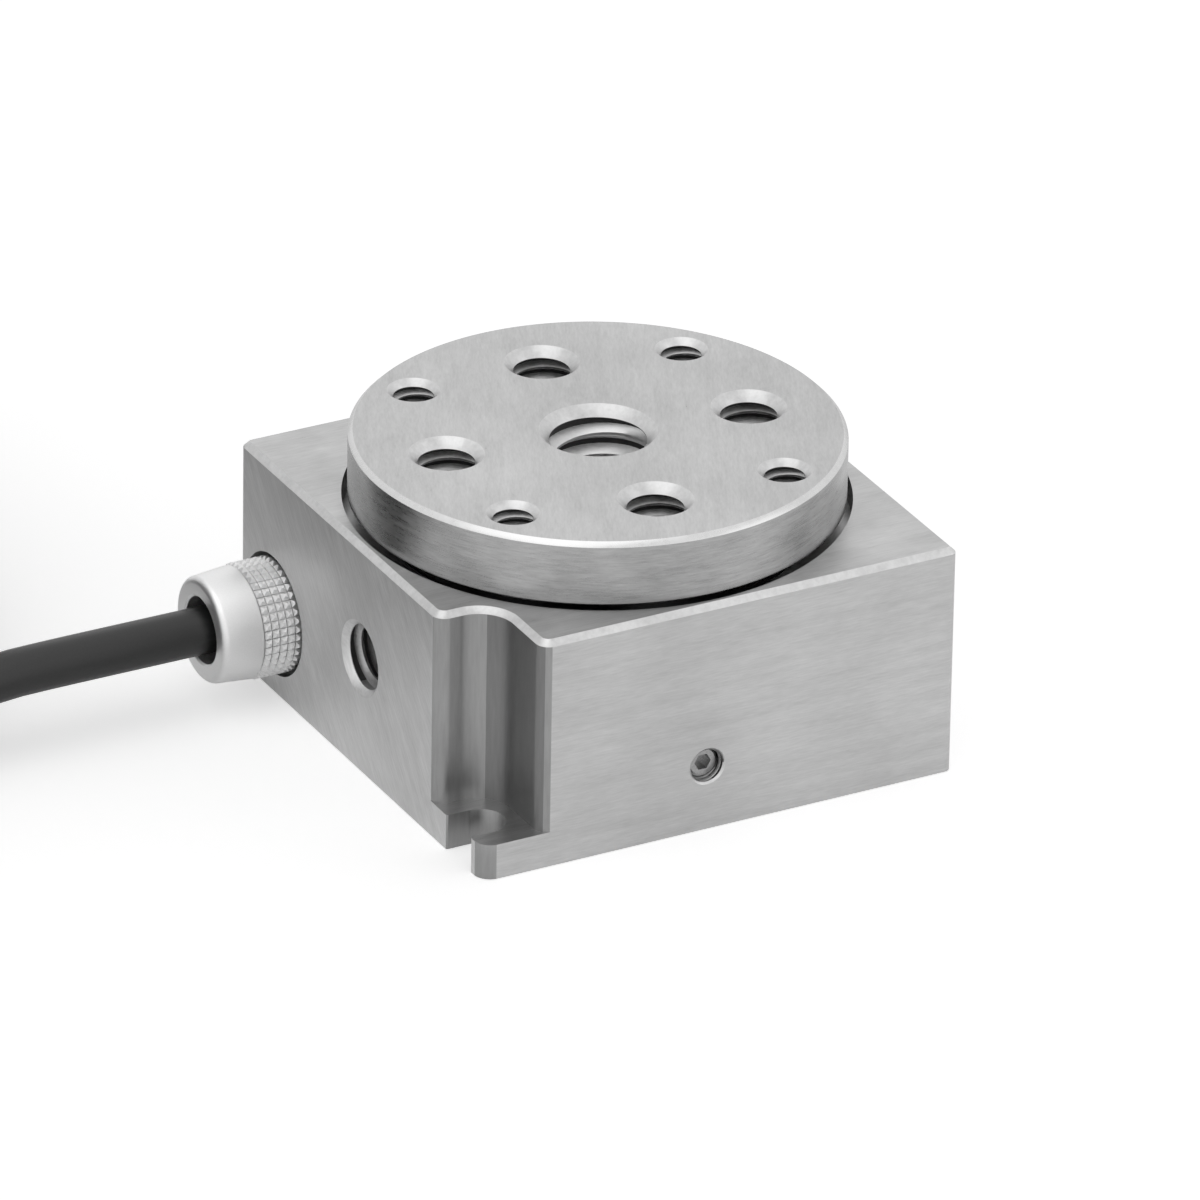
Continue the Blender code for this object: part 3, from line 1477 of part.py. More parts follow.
def plug_shell():
    """The metal flange and the D-shaped shell round the pins."""
    wide = EAR_WIDTH / 2
    tall = FLANGE_TALL / 2
    shell = plate(
        "plug_shell",
        [box_outline(-wide, wide, -tall, tall, HOOD_ROUND)],
        0.0,
        FLANGE_THICK,
        bearing_steel(),
        place=across_plug(FLANGE_BACK),
    )
    reach = FLANGE_THICK + SHELL_REACH
    wall = plate(
        "shell_wall",
        [d_outline(0.0)],
        FLANGE_THICK / 2,
        reach,
        group=CUTTERS,
        place=across_plug(FLANGE_BACK),
    )
    hollow = plate(
        "shell_hollow",
        [d_outline(SHELL_WALL)],
        -CUT_PAST,
        reach + CUT_PAST,
        group=CUTTERS,
        place=across_plug(FLANGE_BACK),
    )
    join(shell, wall)
    tools = [hollow]
    for k, spread in enumerate((-1, 1), 1):
        across = spread * JACK_SPREAD / 2
        start = plug_place(FLANGE_BACK - CUT_PAST, across)
        end = plug_place(FLANGE_FACE + CUT_PAST, across)
        tools.append(round_cutter(f"flange_hole_{k}", JACK_RADIUS + RUN_GAP, start, end, SMALL))
    cut(shell, *tools)
    return shell


def pin_spots():
    """The pins' places across the plug, the middle row set over by half a pitch."""
    spots = []
    for row in range(PIN_ROWS):
        over = PIN_PITCH / 4 if row % 2 else -PIN_PITCH / 4
        for column in range(PIN_COLUMNS):
            across = (column - (PIN_COLUMNS - 1) / 2) * PIN_PITCH + over
            spots.append((across, (row - (PIN_ROWS - 1) / 2) * PIN_ROW_PITCH))
    return spots


def plug_insert():
    """The insulator inside the shell, with its pins moulded in."""
    low = FLANGE_BACK
    insert = plate(
        "plug_insert",
        [d_outline(SHELL_WALL + SEAT_GAP)],
        0.0,
        INSERT_THICK,
        black_plastic(),
        place=across_plug(low),
    )
    pins = []
    for k, (across, up) in enumerate(pin_spots(), 1):
        start = plug_place(low + INSERT_THICK / 2, across, up)
        end = plug_place(FLANGE_FACE + PIN_REACH, across, up)
        pins.append(round_cutter(f"pin_{k}", PIN_RADIUS, start, end, 8))
    join(insert, *pins)
    return insert


def jackscrew(name, spread):
    """One thumbscrew of the plug: its knob behind the ear and its shank through it."""
    knob_low = HOOD_FRONT - EAR_DEEP - RUN_GAP - JACK_KNOB_LENGTH
    length = FLANGE_FACE + JACK_REACH - knob_low
    profile = [
        (0.0, length),
        (JACK_RADIUS - JACK_EDGE, length),
        (JACK_RADIUS, length - JACK_EDGE),
        (JACK_RADIUS, JACK_KNOB_LENGTH),
        (JACK_KNOB_RADIUS, JACK_KNOB_LENGTH),
        (JACK_KNOB_RADIUS, JACK_EDGE),
        (JACK_KNOB_RADIUS - JACK_EDGE, 0.0),
        (0.0, 0.0),
    ]
    screw = turned(name, profile, SMALL, screw_steel())
    aside = Matrix.Translation((spread * JACK_SPREAD / 2, 0, 0))
    screw.matrix_world = across_plug(knob_low) @ aside
    return screw


def plug_boot():
    """The rubber boot at the hood's tail, with the hole that the cable goes into."""
    hole = CABLE_RADIUS + RUN_GAP
    neck = BOOT_BASE_RADIUS - BOOT_STEP
    profile = [
        (hole, BOOT_LENGTH),
        (BOOT_END_RADIUS, BOOT_LENGTH),
        (BOOT_BASE_RADIUS, SEAT_GAP),
        (neck, SEAT_GAP),
        (neck, -BOOT_FOOT),
        (0.0, -BOOT_FOOT),
        (0.0, BOOT_LENGTH - BOOT_CABLE_DEPTH),
        (hole, BOOT_LENGTH - BOOT_CABLE_DEPTH),
    ]
    boot = turned("plug_boot", profile, SMALL, black_rubber())
    tail = Matrix.Translation((-HOOD_BACK, 0, 0))
    boot.matrix_world = plug_frame() @ tail @ along((-1, 0, 0))
    return boot


def main():
    clear_scene()
    stage_body()
    bottom_cover()
    bottom_cover_screws()
    bearing_outer_ring()
    bearing_retainer()
    carried_by("cage_axis", RACE_MIDDLE, [bearing_cage(), *bearing_balls()])
    turning = [platform(), bearing_inner_ring(), rotor_hub(), drive_ring(), encoder_scale()]
    carried_by("platform_axis", PLATE_TOP, turning + rotor_hub_screws())
    motor_stator()
    motor_screws()
    piezo_stack()
    friction_tip()
    preload_leaf()
    preload_screw()
    encoder_board()
    encoder_board_screws()
    encoder_sensor()
    lead_header()
    signal_leads()
    cable_ferrule()
    gland_spigot()
    cable_seal()
    cable_run()
    cable_coil()
    coil_ties()
    cable_tail()
    tools = hood_cutters()
    hood_half("plug_hood_lower", -1, tools)
    hood_half("plug_hood_upper", 1, tools)
    hood_screws()
    plug_shell()
    plug_insert()
    jackscrew("plug_jackscrew_left", -1)
    jackscrew("plug_jackscrew_right", 1)
    plug_boot()
    bpy.context.view_layer.update()


main()
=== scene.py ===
"""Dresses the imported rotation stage: machined steel, threads, a knurled collar, a wound cable
and its plug, in a pale studio."""

import json
import math

import bmesh
import bpy
from bpy.props import FloatProperty, FloatVectorProperty, IntProperty, PointerProperty
from mathutils import Matrix, Vector

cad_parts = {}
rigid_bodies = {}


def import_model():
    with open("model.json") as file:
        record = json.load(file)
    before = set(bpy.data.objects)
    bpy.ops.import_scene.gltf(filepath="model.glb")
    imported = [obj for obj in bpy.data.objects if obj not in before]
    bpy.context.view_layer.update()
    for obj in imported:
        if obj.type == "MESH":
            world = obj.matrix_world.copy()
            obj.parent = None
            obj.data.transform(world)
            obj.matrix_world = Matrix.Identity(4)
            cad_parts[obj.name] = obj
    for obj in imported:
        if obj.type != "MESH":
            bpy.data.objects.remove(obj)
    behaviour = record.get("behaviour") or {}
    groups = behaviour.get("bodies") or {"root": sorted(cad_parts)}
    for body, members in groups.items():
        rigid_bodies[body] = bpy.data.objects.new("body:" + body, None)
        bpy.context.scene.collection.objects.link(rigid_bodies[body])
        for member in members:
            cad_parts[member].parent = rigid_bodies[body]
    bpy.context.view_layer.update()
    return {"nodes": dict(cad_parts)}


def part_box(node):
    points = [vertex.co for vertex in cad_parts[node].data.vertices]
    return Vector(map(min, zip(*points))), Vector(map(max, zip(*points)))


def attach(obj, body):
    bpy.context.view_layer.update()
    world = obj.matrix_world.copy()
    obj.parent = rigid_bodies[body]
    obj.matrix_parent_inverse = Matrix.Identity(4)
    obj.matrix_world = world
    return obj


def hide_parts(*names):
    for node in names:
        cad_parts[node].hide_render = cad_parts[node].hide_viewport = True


bl_info = {
    "name": "Rotation Stage",
    "version": (1, 0, 0),
    "blender": (4, 5, 0),
    "location": "3D View > Sidebar > Stage",
    "description": "Builds the outside of a small motorised rotation stage over its frame",
    "category": "Object",
}

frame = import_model()
MM = 0.001
WELD = 0.0005 * MM  # points nearer to each other than this become one
OUTLINE_WELD = 0.002 * MM  # the same for the points of an outline or of a CAD mesh
ON_AXIS = 1e-9  # a turned point with a smaller radius lies on its axis
ARC_STEPS = 64  # points in a full turn of an outline's arc
SINK_WALL = 0.05 * MM  # upright wall below a countersink's cone
SINK_END = 0.12 * MM  # depth below the cone where the bore's own wall begins
LEVEL = 0.92  # a face whose normal's height is over this is flat
SLOPED = 0.3  # and over this, it is a chamfer

BODY_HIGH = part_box("stage_body")[1]
TABLE_LOW, TABLE_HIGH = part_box("platform")
COLLAR_LOW, COLLAR_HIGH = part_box("cable_ferrule")
GLAND = [(COLLAR_LOW[k] + COLLAR_HIGH[k]) / 2 for k in (1, 2)]  # the gland's axis: y and z
COIL_LOW, COIL_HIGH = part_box("cable_coil")


def length(name, description, default):
    """A size in metres, in Blender's own length unit."""
    return FloatProperty(
        name=name, description=description, default=default, subtype="DISTANCE", unit="LENGTH"
    )


def shade(name, description, default):
    """A linear colour."""
    return FloatVectorProperty(
        name=name, description=description, default=default, subtype="COLOR", min=0.0, max=1.0
    )


class StageBodySizes(bpy.types.PropertyGroup):
    """The square body."""

    half: length("Half side", "Half of the body's side", BODY_HIGH[0])
    height: length("Height", "Top face above the underside", BODY_HIGH[2])
    corner: length("Corner round", "Radius of the two plain upright corners", 0.5 * MM)
    chamfer: length("Top chamfer", "Width of the chamfer round the top face", 0.35 * MM)
    notch_x: length("Notch width", "How far a notch reaches in from the side face", 3.6 * MM)
    notch_y: length("Notch length", "How far a notch reaches in from the front face", 5.6 * MM)
    notch_inner: length("Notch inner round", "Radius of the cutter in the notch", 2.1 * MM)
    notch_edge: length("Notch edge round", "Radius where the notch meets a face", 0.8 * MM)
    foot: length("Foot height", "Thickness of the clamping foot", 2.15 * MM)
    foot_corner: length("Foot corner round", "Radius of the foot's outer corner", 1.0 * MM)
    slot_wide: length("Slot width", "Width of the foot's open slot", 2.86 * MM)
    slot_middle: length("Slot inset", "Front face to the slot's middle", 2.87 * MM)
    slot_end: length("Slot length", "Side face to the slot's round end", 2.83 * MM)
    side_tap: length("Side hole radius", "Radius of the threaded hole in the side", 2.083 * MM)
    side_tap_height: length("Side hole height", "Height of that hole's axis", 7.05 * MM)
    side_tap_depth: length("Side hole depth", "How deep that hole goes", 3.2 * MM)
    side_sink: length("Side hole countersink", "Depth of that hole's countersink", 0.36 * MM)
    adjuster_x: length("Adjuster place", "Adjusting screw's distance right of centre", -0.81 * MM)
    adjuster_height: length("Adjuster height", "Height of the adjusting screw's axis", 3.96 * MM)
    adjuster_hole: length("Adjuster hole radius", "Radius of its hole", 1.02 * MM)


class TableSizes(bpy.types.PropertyGroup):
    """The round platform."""

    radius: length("Radius", "Radius of the plate", TABLE_HIGH[0])
    top: length("Top height", "Height of the plate's top face", TABLE_HIGH[2])
    bottom: length("Lower height", "Height of the plate's underside", 14.2 * MM)
    chamfer: length("Rim chamfer", "Chamfer of the plate's upper rim", 0.28 * MM)
    turned: FloatProperty(
        name="Hole pattern turn",
        description="Angle of the hole pattern at rest",
        default=math.radians(-7.4),
        subtype="ANGLE",
        unit="ROTATION",
    )
    centre: length("Centre hole radius", "Outside radius of the centre thread", 3.175 * MM)
    large: length("Large hole radius", "Outside radius of the four larger threads", 2.083 * MM)
    large_ring: length("Large hole ring", "Radius of the ring of larger holes", 9.1 * MM)
    small: length("Small hole radius", "Outside radius of the four smaller threads", 1.422 * MM)
    small_ring: length("Small hole ring", "Radius of the ring of smaller holes", 11.48 * MM)
    mouth: length("Centre mouth", "How far the centre mouth is wider than its thread", 0.19 * MM)
    large_mouth: length("Large mouth", "How far a large mouth is wider than its thread", 0.09 * MM)
    small_mouth: length("Small mouth", "How far a small mouth is wider than its thread", 0.11 * MM)
    sink: length("Centre countersink", "Depth of the centre hole's countersink", 0.6 * MM)
    large_sink: length("Large countersink", "Depth of a large hole's countersink", 0.55 * MM)
    small_sink: length("Small countersink", "Depth of a small hole's countersink", 0.38 * MM)
    holes: IntProperty(name="Holes a ring", description="Holes in each ring", default=4, min=1)


class ThreadSizes(bpy.types.PropertyGroup):
    """The threads that show in the holes."""

    centre_pitch: length("Centre pitch", "Pitch of the centre thread", 1.27 * MM)
    large_pitch: length("Large pitch", "Pitch of the larger threads", 0.794 * MM)
    small_pitch: length("Small pitch", "Pitch of the smaller threads", 0.635 * MM)
    segments: IntProperty(name="Segments", description="Faces in one turn", default=48, min=12)


class CollarSizes(bpy.types.PropertyGroup):
    """The knurled collar of the cable's gland."""

    reach: length("Reach", "How far the collar stands out of the side", 4.64 * MM)
    band: length("Knurl length", "Length of the knurled band", 2.5 * MM)
    band_start: length("Knurl start", "Knurled band's first row from the side face", -0.35 * MM)
    radius: length("Knurl radius", "Radius at the foot of the knurl", 3.12 * MM)
    tooth: length("Tooth height", "Height of a knurl tooth", 0.2 * MM)
    rows: IntProperty(name="Rows", description="Rows of knurl teeth", default=5, min=1)
    teeth: IntProperty(name="Teeth", description="Knurl teeth in one row", default=40, min=8)


class CordSizes(bpy.types.PropertyGroup):
    """The cable."""

    radius: length("Radius", "Radius of the cable's jacket", 1.4 * MM)
    whole: length("Length", "Whole length of the cable", 0.87)
    pitch: length("Turn pitch", "Distance between neighbouring turns", 2.9 * MM)
    outer: length("Coil radius", "Middle line of the outermost turns", 20.0 * MM)


class FinishColours(bpy.types.PropertyGroup):
    """The colours of the finishes."""

    steel: shade("Body steel", "Brushed stainless steel", (0.5, 0.5, 0.5))
    table: shade("Platform steel", "Ground stainless steel", (0.52, 0.52, 0.52))
    collar: shade("Collar", "Clear anodised aluminium", (0.86, 0.86, 0.86))
    jacket: shade("Cable jacket", "Black cable jacket", (0.01, 0.01, 0.01))
    rubber: shade("Rubber", "Black rubber", (0.02, 0.02, 0.02))
    hood: shade("Plug hood", "Grey moulded plastic", (0.16, 0.16, 0.17))
    insulator: shade("Insulator", "Black moulded plastic", (0.02, 0.02, 0.02))
    contact: shade("Contacts", "Gold plated pins", (0.83, 0.62, 0.22))


class StudioLevels(bpy.types.PropertyGroup):
    """The studio's lights and floor."""

    key: FloatProperty(name="Key", description="Power of the key light", default=0.9, min=0.0)
    fill: FloatProperty(name="Fill", description="Power of the fill light", default=0.45, min=0.0)
    sky: FloatProperty(name="Sky", description="Strength of the room", default=0.62, min=0.0)
    floor: shade("Floor", "Pale floor", (0.82, 0.82, 0.82))


GROUPS = {
    "stage_body_sizes": StageBodySizes,
    "stage_table_sizes": TableSizes,
    "stage_thread_sizes": ThreadSizes,
    "stage_collar_sizes": CollarSizes,
    "stage_cord_sizes": CordSizes,
    "stage_finish_colours": FinishColours,
    "stage_studio_levels": StudioLevels,
}


# Shapes


def link(name, mesh, *finishes):
    """A new object at the origin with its finishes."""
    item = bpy.data.objects.new(name, mesh)
    bpy.context.scene.collection.objects.link(item)
    for finish in finishes:
        mesh.materials.append(finish)
    return item


def baked(item):
    """The object's evaluated mesh in world space; the object itself is removed."""
    bpy.context.view_layer.update()
    graph = bpy.context.evaluated_depsgraph_get()
    mesh = bpy.data.meshes.new_from_object(item.evaluated_get(graph), depsgraph=graph)
    mesh.transform(item.matrix_world)
    name = item.name
    bpy.data.objects.remove(item)
    mesh.name = name
    return mesh


def cleaned(mesh):
    """The mesh with doubles merged and its faces turned outwards."""
    work = bmesh.new()
    work.from_mesh(mesh)
    bmesh.ops.remove_doubles(work, verts=work.verts, dist=WELD)
    bmesh.ops.recalc_face_normals(work, faces=work.faces)
    work.to_mesh(mesh)
    work.free()
    return mesh


def along(direction):
    """The turn that takes +Z to the direction."""
    return Vector(direction).to_track_quat("Z", "Y").to_matrix().to_4x4()


def facing(place, out):
    """The move to the place that also turns +Z outwards."""
    return Matrix.Translation(place) @ along(out)


def rounded(corners):
    """An outline through (x, y, radius) corners, each turned by an arc of its radius."""
    outline = []
    for i, (x, y, radius) in enumerate(corners):
        here = Vector((x, y))
        back = (Vector(corners[i - 1][:2]) - here).normalized()
        ahead = (Vector(corners[(i + 1) % len(corners)][:2]) - here).normalized()
        half_angle = back.angle(ahead) / 2
        centre = here + (back + ahead).normalized() * radius / math.sin(half_angle)
        first = here + back * radius / math.tan(half_angle) - centre
        sweep = math.pi - 2 * half_angle
        if back.cross(ahead) > 0:
            sweep = -sweep
        count = max(2, math.ceil(abs(sweep) / (2 * math.pi) * ARC_STEPS))
        for k in range(count + 1):
            point = centre + Matrix.Rotation(sweep * k / count, 2) @ first
            if not outline or (point - outline[-1]).length > OUTLINE_WELD:
                outline.append(point)
    if (outline[0] - outline[-1]).length < OUTLINE_WELD:
        outline.pop()
    return outline


def half_turned(corners):
    """Corners followed by the same corners half a turn round the axis."""
    return corners + [(-x, -y, radius) for x, y, radius in corners]


def prism(name, outline, low, high):
    """A closed upright prism of the outline."""
    mesh = bpy.data.meshes.new(name)
    count = len(outline)
    points = [(x, y, low) for x, y in outline] + [(x, y, high) for x, y in outline]
    faces = [[*range(count)][::-1], [*range(count, 2 * count)]]
    faces += [[k, (k + 1) % count, count + (k + 1) % count, count + k] for k in range(count)]
    mesh.from_pydata(points, [], faces)
    return link(name, cleaned(mesh))


def lathe(name, profile, steps, place=None):
    """A closed piece turned about Z from (radius, height) points, then put in its place."""
    work = bmesh.new()
    rings = []
    angles = [2 * math.pi * k / steps for k in range(steps)]
    for radius, height in profile:
        spots = [(0, 0, height)]
        if radius >= ON_AXIS:
            spots = [(radius * math.cos(a), radius * math.sin(a), height) for a in angles]
        rings.append([work.verts.new(spot) for spot in spots])
    pairs = list(zip(rings, rings[1:]))
    if profile[0][0] > ON_AXIS:
        pairs.append((rings[-1], rings[0]))
    for a, b in pairs:
        for k in range(steps):
            following = k + 1
            corners = (a[k % len(a)], a[following % len(a)], b[following % len(b)], b[k % len(b)])
            unique = list(dict.fromkeys(corners))
            if len(unique) > 2:
                work.faces.new(unique)
    bmesh.ops.recalc_face_normals(work, faces=work.faces)
    mesh = bpy.data.meshes.new(name)
    work.to_mesh(mesh)
    work.free()
    if place is not None:
        mesh.transform(place)
    return link(name, mesh)


def rod(name, radius, start, end, steps=64):
    """A plain round cutter from start to end."""
    start, end = Vector(start), Vector(end)
    run = (end - start).length
    profile = [(0.0, run), (radius, run), (radius, 0.0), (0.0, 0.0)]
    return lathe(name, profile, steps, facing(start, end - start))


def hole(name, radius, mouth_chamfer, depth, mouth, out, steps=64, countersink=0.0):
    """A cutter for a hole with a chamfered mouth. A countersink goes on inwards past the wall,
    down to the crests of the hole's thread."""
    past = 0.5 * MM
    rim = radius + mouth_chamfer
    profile = [(0.0, past), (rim + past, past)]
    if countersink:
        narrow = rim - countersink
        profile += [(narrow, -countersink), (narrow, -countersink - SINK_WALL)]
        profile.append((radius, -countersink - SINK_END))
    else:
        profile.append((radius, -mouth_chamfer))
    profile += [(radius, -depth), (0.0, -depth)]
    return lathe(name, profile, steps, facing(mouth, out))


def combined(item, tools, operation):
    """The piece with the tools cut out of it or joined to it, as a plain mesh."""
    group = bpy.data.collections.new(item.name + "_tools")
    bpy.context.scene.collection.children.link(group)
    for tool in tools:
        bpy.context.scene.collection.objects.unlink(tool)
        group.objects.link(tool)
    change = item.modifiers.new("combine", "BOOLEAN")
    change.operation = operation
    change.solver = "EXACT"
    change.operand_type = "COLLECTION"
    change.collection = group
    name = item.name
    mesh = baked(item)
    for tool in tools:
        bpy.data.objects.remove(tool)
    bpy.data.collections.remove(group)
    mesh.materials.clear()
    return link(name, mesh)


def sharp(item, degrees=28.0):
    """Smooth shading that keeps the edges over this angle and leaves the flat faces flat."""
    item.data.polygons.foreach_set("use_smooth", [True] * len(item.data.polygons))
    item.data.set_sharp_from_angle(angle=math.radians(degrees))
    even = item.modifiers.new("even", "WEIGHTED_NORMAL")
    even.weight = 100
    even.keep_sharp = True
    return link(item.name, baked(item))


def softened(item, width, degrees=35.0, segments=2):
    """A small round on the edges, as a light deburring leaves."""
    edge = item.modifiers.new("edges", "BEVEL")
    edge.width = width
    edge.segments = segments
    edge.limit_method = "ANGLE"
    edge.angle_limit = math.radians(degrees)
    edge.use_clamp_overlap = True
    edge.harden_normals = False
    return link(item.name, baked(item))


def from_node(node, name, width=0.0):
    """A merged copy of a CAD node's mesh with its flat faces dissolved, and its edges eased by a
    round of the width, if there is one."""
    source = frame["nodes"][node]
    mesh = source.data.copy()
    mesh.transform(source.matrix_world)
    mesh.materials.clear()
    work = bmesh.new()
    work.from_mesh(mesh)
    bmesh.ops.remove_doubles(work, verts=work.verts, dist=OUTLINE_WELD)
    bmesh.ops.dissolve_limit(
        work, angle_limit=math.radians(1.0), verts=work.verts, edges=work.edges
    )
    work.to_mesh(mesh)
    work.free()
    item = link(name, mesh)
    return sharp(softened(item, width) if width else item)


def painted(item, *names, rule=None):
    """Gives each face the finish that the rule names, or the only one."""
    made = finishes()
    item.data.materials.clear()
    for name in names:
        item.data.materials.append(made[name])
    for face in item.data.polygons:
        face.material_index = names.index(rule(face)) if rule else 0
    return item


def placed(item, body, *nodes):
    """The finished piece rides on its body and stands for its CAD nodes."""
    if nodes:
        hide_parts(*nodes)
    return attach(item, body)


# Finishes

# The frame brings materials of its own, so these names end in a word that none of those has.
FINISH = "_finish"

NOISE_SPAN = (0.3, 0.7)  # nearly all of a noise's values lie in it
GRAIN_DEPTH = 0.004 * MM
BROAD_GRAIN = 0.22  # stretch of the broad grain, as a share of the fine grain's


class Nodes:
    """A short way to build a material's node tree."""

    def __init__(self, name, colour, roughness, metallic=0.0):
        self.material = bpy.data.materials.new(name + FINISH)
        self.material.use_nodes = True
        self.tree = self.material.node_tree
        self.shader = self.tree.nodes["Principled BSDF"]
        self.shader.inputs["Base Color"].default_value = (*colour, 1.0)
        self.shader.inputs["Roughness"].default_value = roughness
        self.shader.inputs["Metallic"].default_value = metallic
        self.coordinates = self.add("ShaderNodeTexCoord")

    def add(self, kind, **settings):
        node = self.tree.nodes.new(kind)
        for key, value in settings.items():
            setattr(node, key, value)
        return node

    def join(self, out, into):
        self.tree.links.new(out, into)

    def place(self, scale=(1, 1, 1), turn=(0, 0, 0), shift=(0, 0, 0)):
        """Object coordinates in millimetres, shifted, turned and then scaled."""
        first = self.add("ShaderNodeMapping")
        first.vector_type = "POINT"
        first.inputs["Location"].default_value = shift
        first.inputs["Rotation"].default_value = turn
        self.join(self.coordinates.outputs["Object"], first.inputs["Vector"])
        second = self.add("ShaderNodeMapping")
        second.inputs["Scale"].default_value = [1000 * s for s in scale]
        self.join(first.outputs["Vector"], second.inputs["Vector"])
        return second.outputs["Vector"]

    def noise(self, vector, scale, detail=4.0, roughness=0.6):
        node = self.add("ShaderNodeTexNoise")
        node.inputs["Scale"].default_value = scale
        node.inputs["Detail"].default_value = detail
        node.inputs["Roughness"].default_value = roughness
        self.join(vector, node.inputs["Vector"])
        return node.outputs["Fac"]

    def math(self, operation, a, b):
        node = self.add("ShaderNodeMath", operation=operation)
        for socket, value in zip(node.inputs, (a, b)):
            if isinstance(value, (int, float)):
                socket.default_value = value
            else:
                self.join(value, socket)
        return node.outputs[0]

    def blend(self, a, b, share):
        """The first value by its share and the second by the rest."""
        return self.math(
            "ADD", self.math("MULTIPLY", a, share), self.math("MULTIPLY", b, 1 - share)
        )

    def spread(self, value, low, high):
        """A noise's usual span, stretched to another."""
        node = self.add("ShaderNodeMapRange")
        node.inputs["From Min"].default_value, node.inputs["From Max"].default_value = NOISE_SPAN
        node.inputs["To Min"].default_value = low
        node.inputs["To Max"].default_value = high
        self.join(value, node.inputs["Value"])
        return node.outputs["Result"]

    def tone(self, value, dark, light):
        """A colour between two by the value."""
        node = self.add("ShaderNodeMix", data_type="RGBA")
        node.inputs["A"].default_value = (*dark, 1.0)
        node.inputs["B"].default_value = (*light, 1.0)
        self.join(value, node.inputs["Factor"])
        self.join(node.outputs["Result"], self.shader.inputs["Base Color"])

    def rough(self, value):
        self.join(value, self.shader.inputs["Roughness"])

    def bump(self, height, strength, distance):
        """distance is the bump's depth in metres."""
        node = self.add("ShaderNodeBump")
        node.inputs["Strength"].default_value = strength
        node.inputs["Distance"].default_value = distance
        self.join(height, node.inputs["Height"])
        self.join(node.outputs["Normal"], self.shader.inputs["Normal"])


def scaled(colour, by):
    return tuple(min(1.0, c * by) for c in colour)


def brushed(
    name, colour, grain, turn=(0, 0, 0), roughness=0.34, contrast=0.16, blotch=0.09
):
    """Steel with a grain. grain is the stretch of the pattern in 1/mm along each turned axis, and
    blotch that of its larger spots."""
    nodes = Nodes(name, colour, roughness, 1.0)
    fine = nodes.noise(nodes.place(grain, turn), 1.0, 5.0, 0.65)
    wide = [g * BROAD_GRAIN for g in grain]
    broad = nodes.noise(nodes.place(wide, turn, (0.013, 0.007, 0.003)), 1.0, 3.0)
    cloud = nodes.noise(nodes.place((blotch, blotch, blotch)), 1.0, 2.0)
    mixed = nodes.blend(fine, broad, 0.6)
    tinted = nodes.blend(mixed, cloud, 0.65)
    nodes.tone(
        nodes.spread(tinted, 0.0, 1.0), scaled(colour, 1 - contrast), scaled(colour, 1 + contrast)
    )
    nodes.rough(nodes.spread(mixed, roughness - 0.07, roughness + 0.09))
    nodes.bump(mixed, 0.6, GRAIN_DEPTH)
    return nodes.material


def finishes():
    """Every finish of the stage by name, made once."""
    if "body_top_steel" + FINISH not in bpy.data.materials:
        make_finishes(bpy.context.scene.stage_finish_colours)
    return {
        material.name.removesuffix(FINISH): material
        for material in bpy.data.materials
        if material.name.endswith(FINISH)
    }


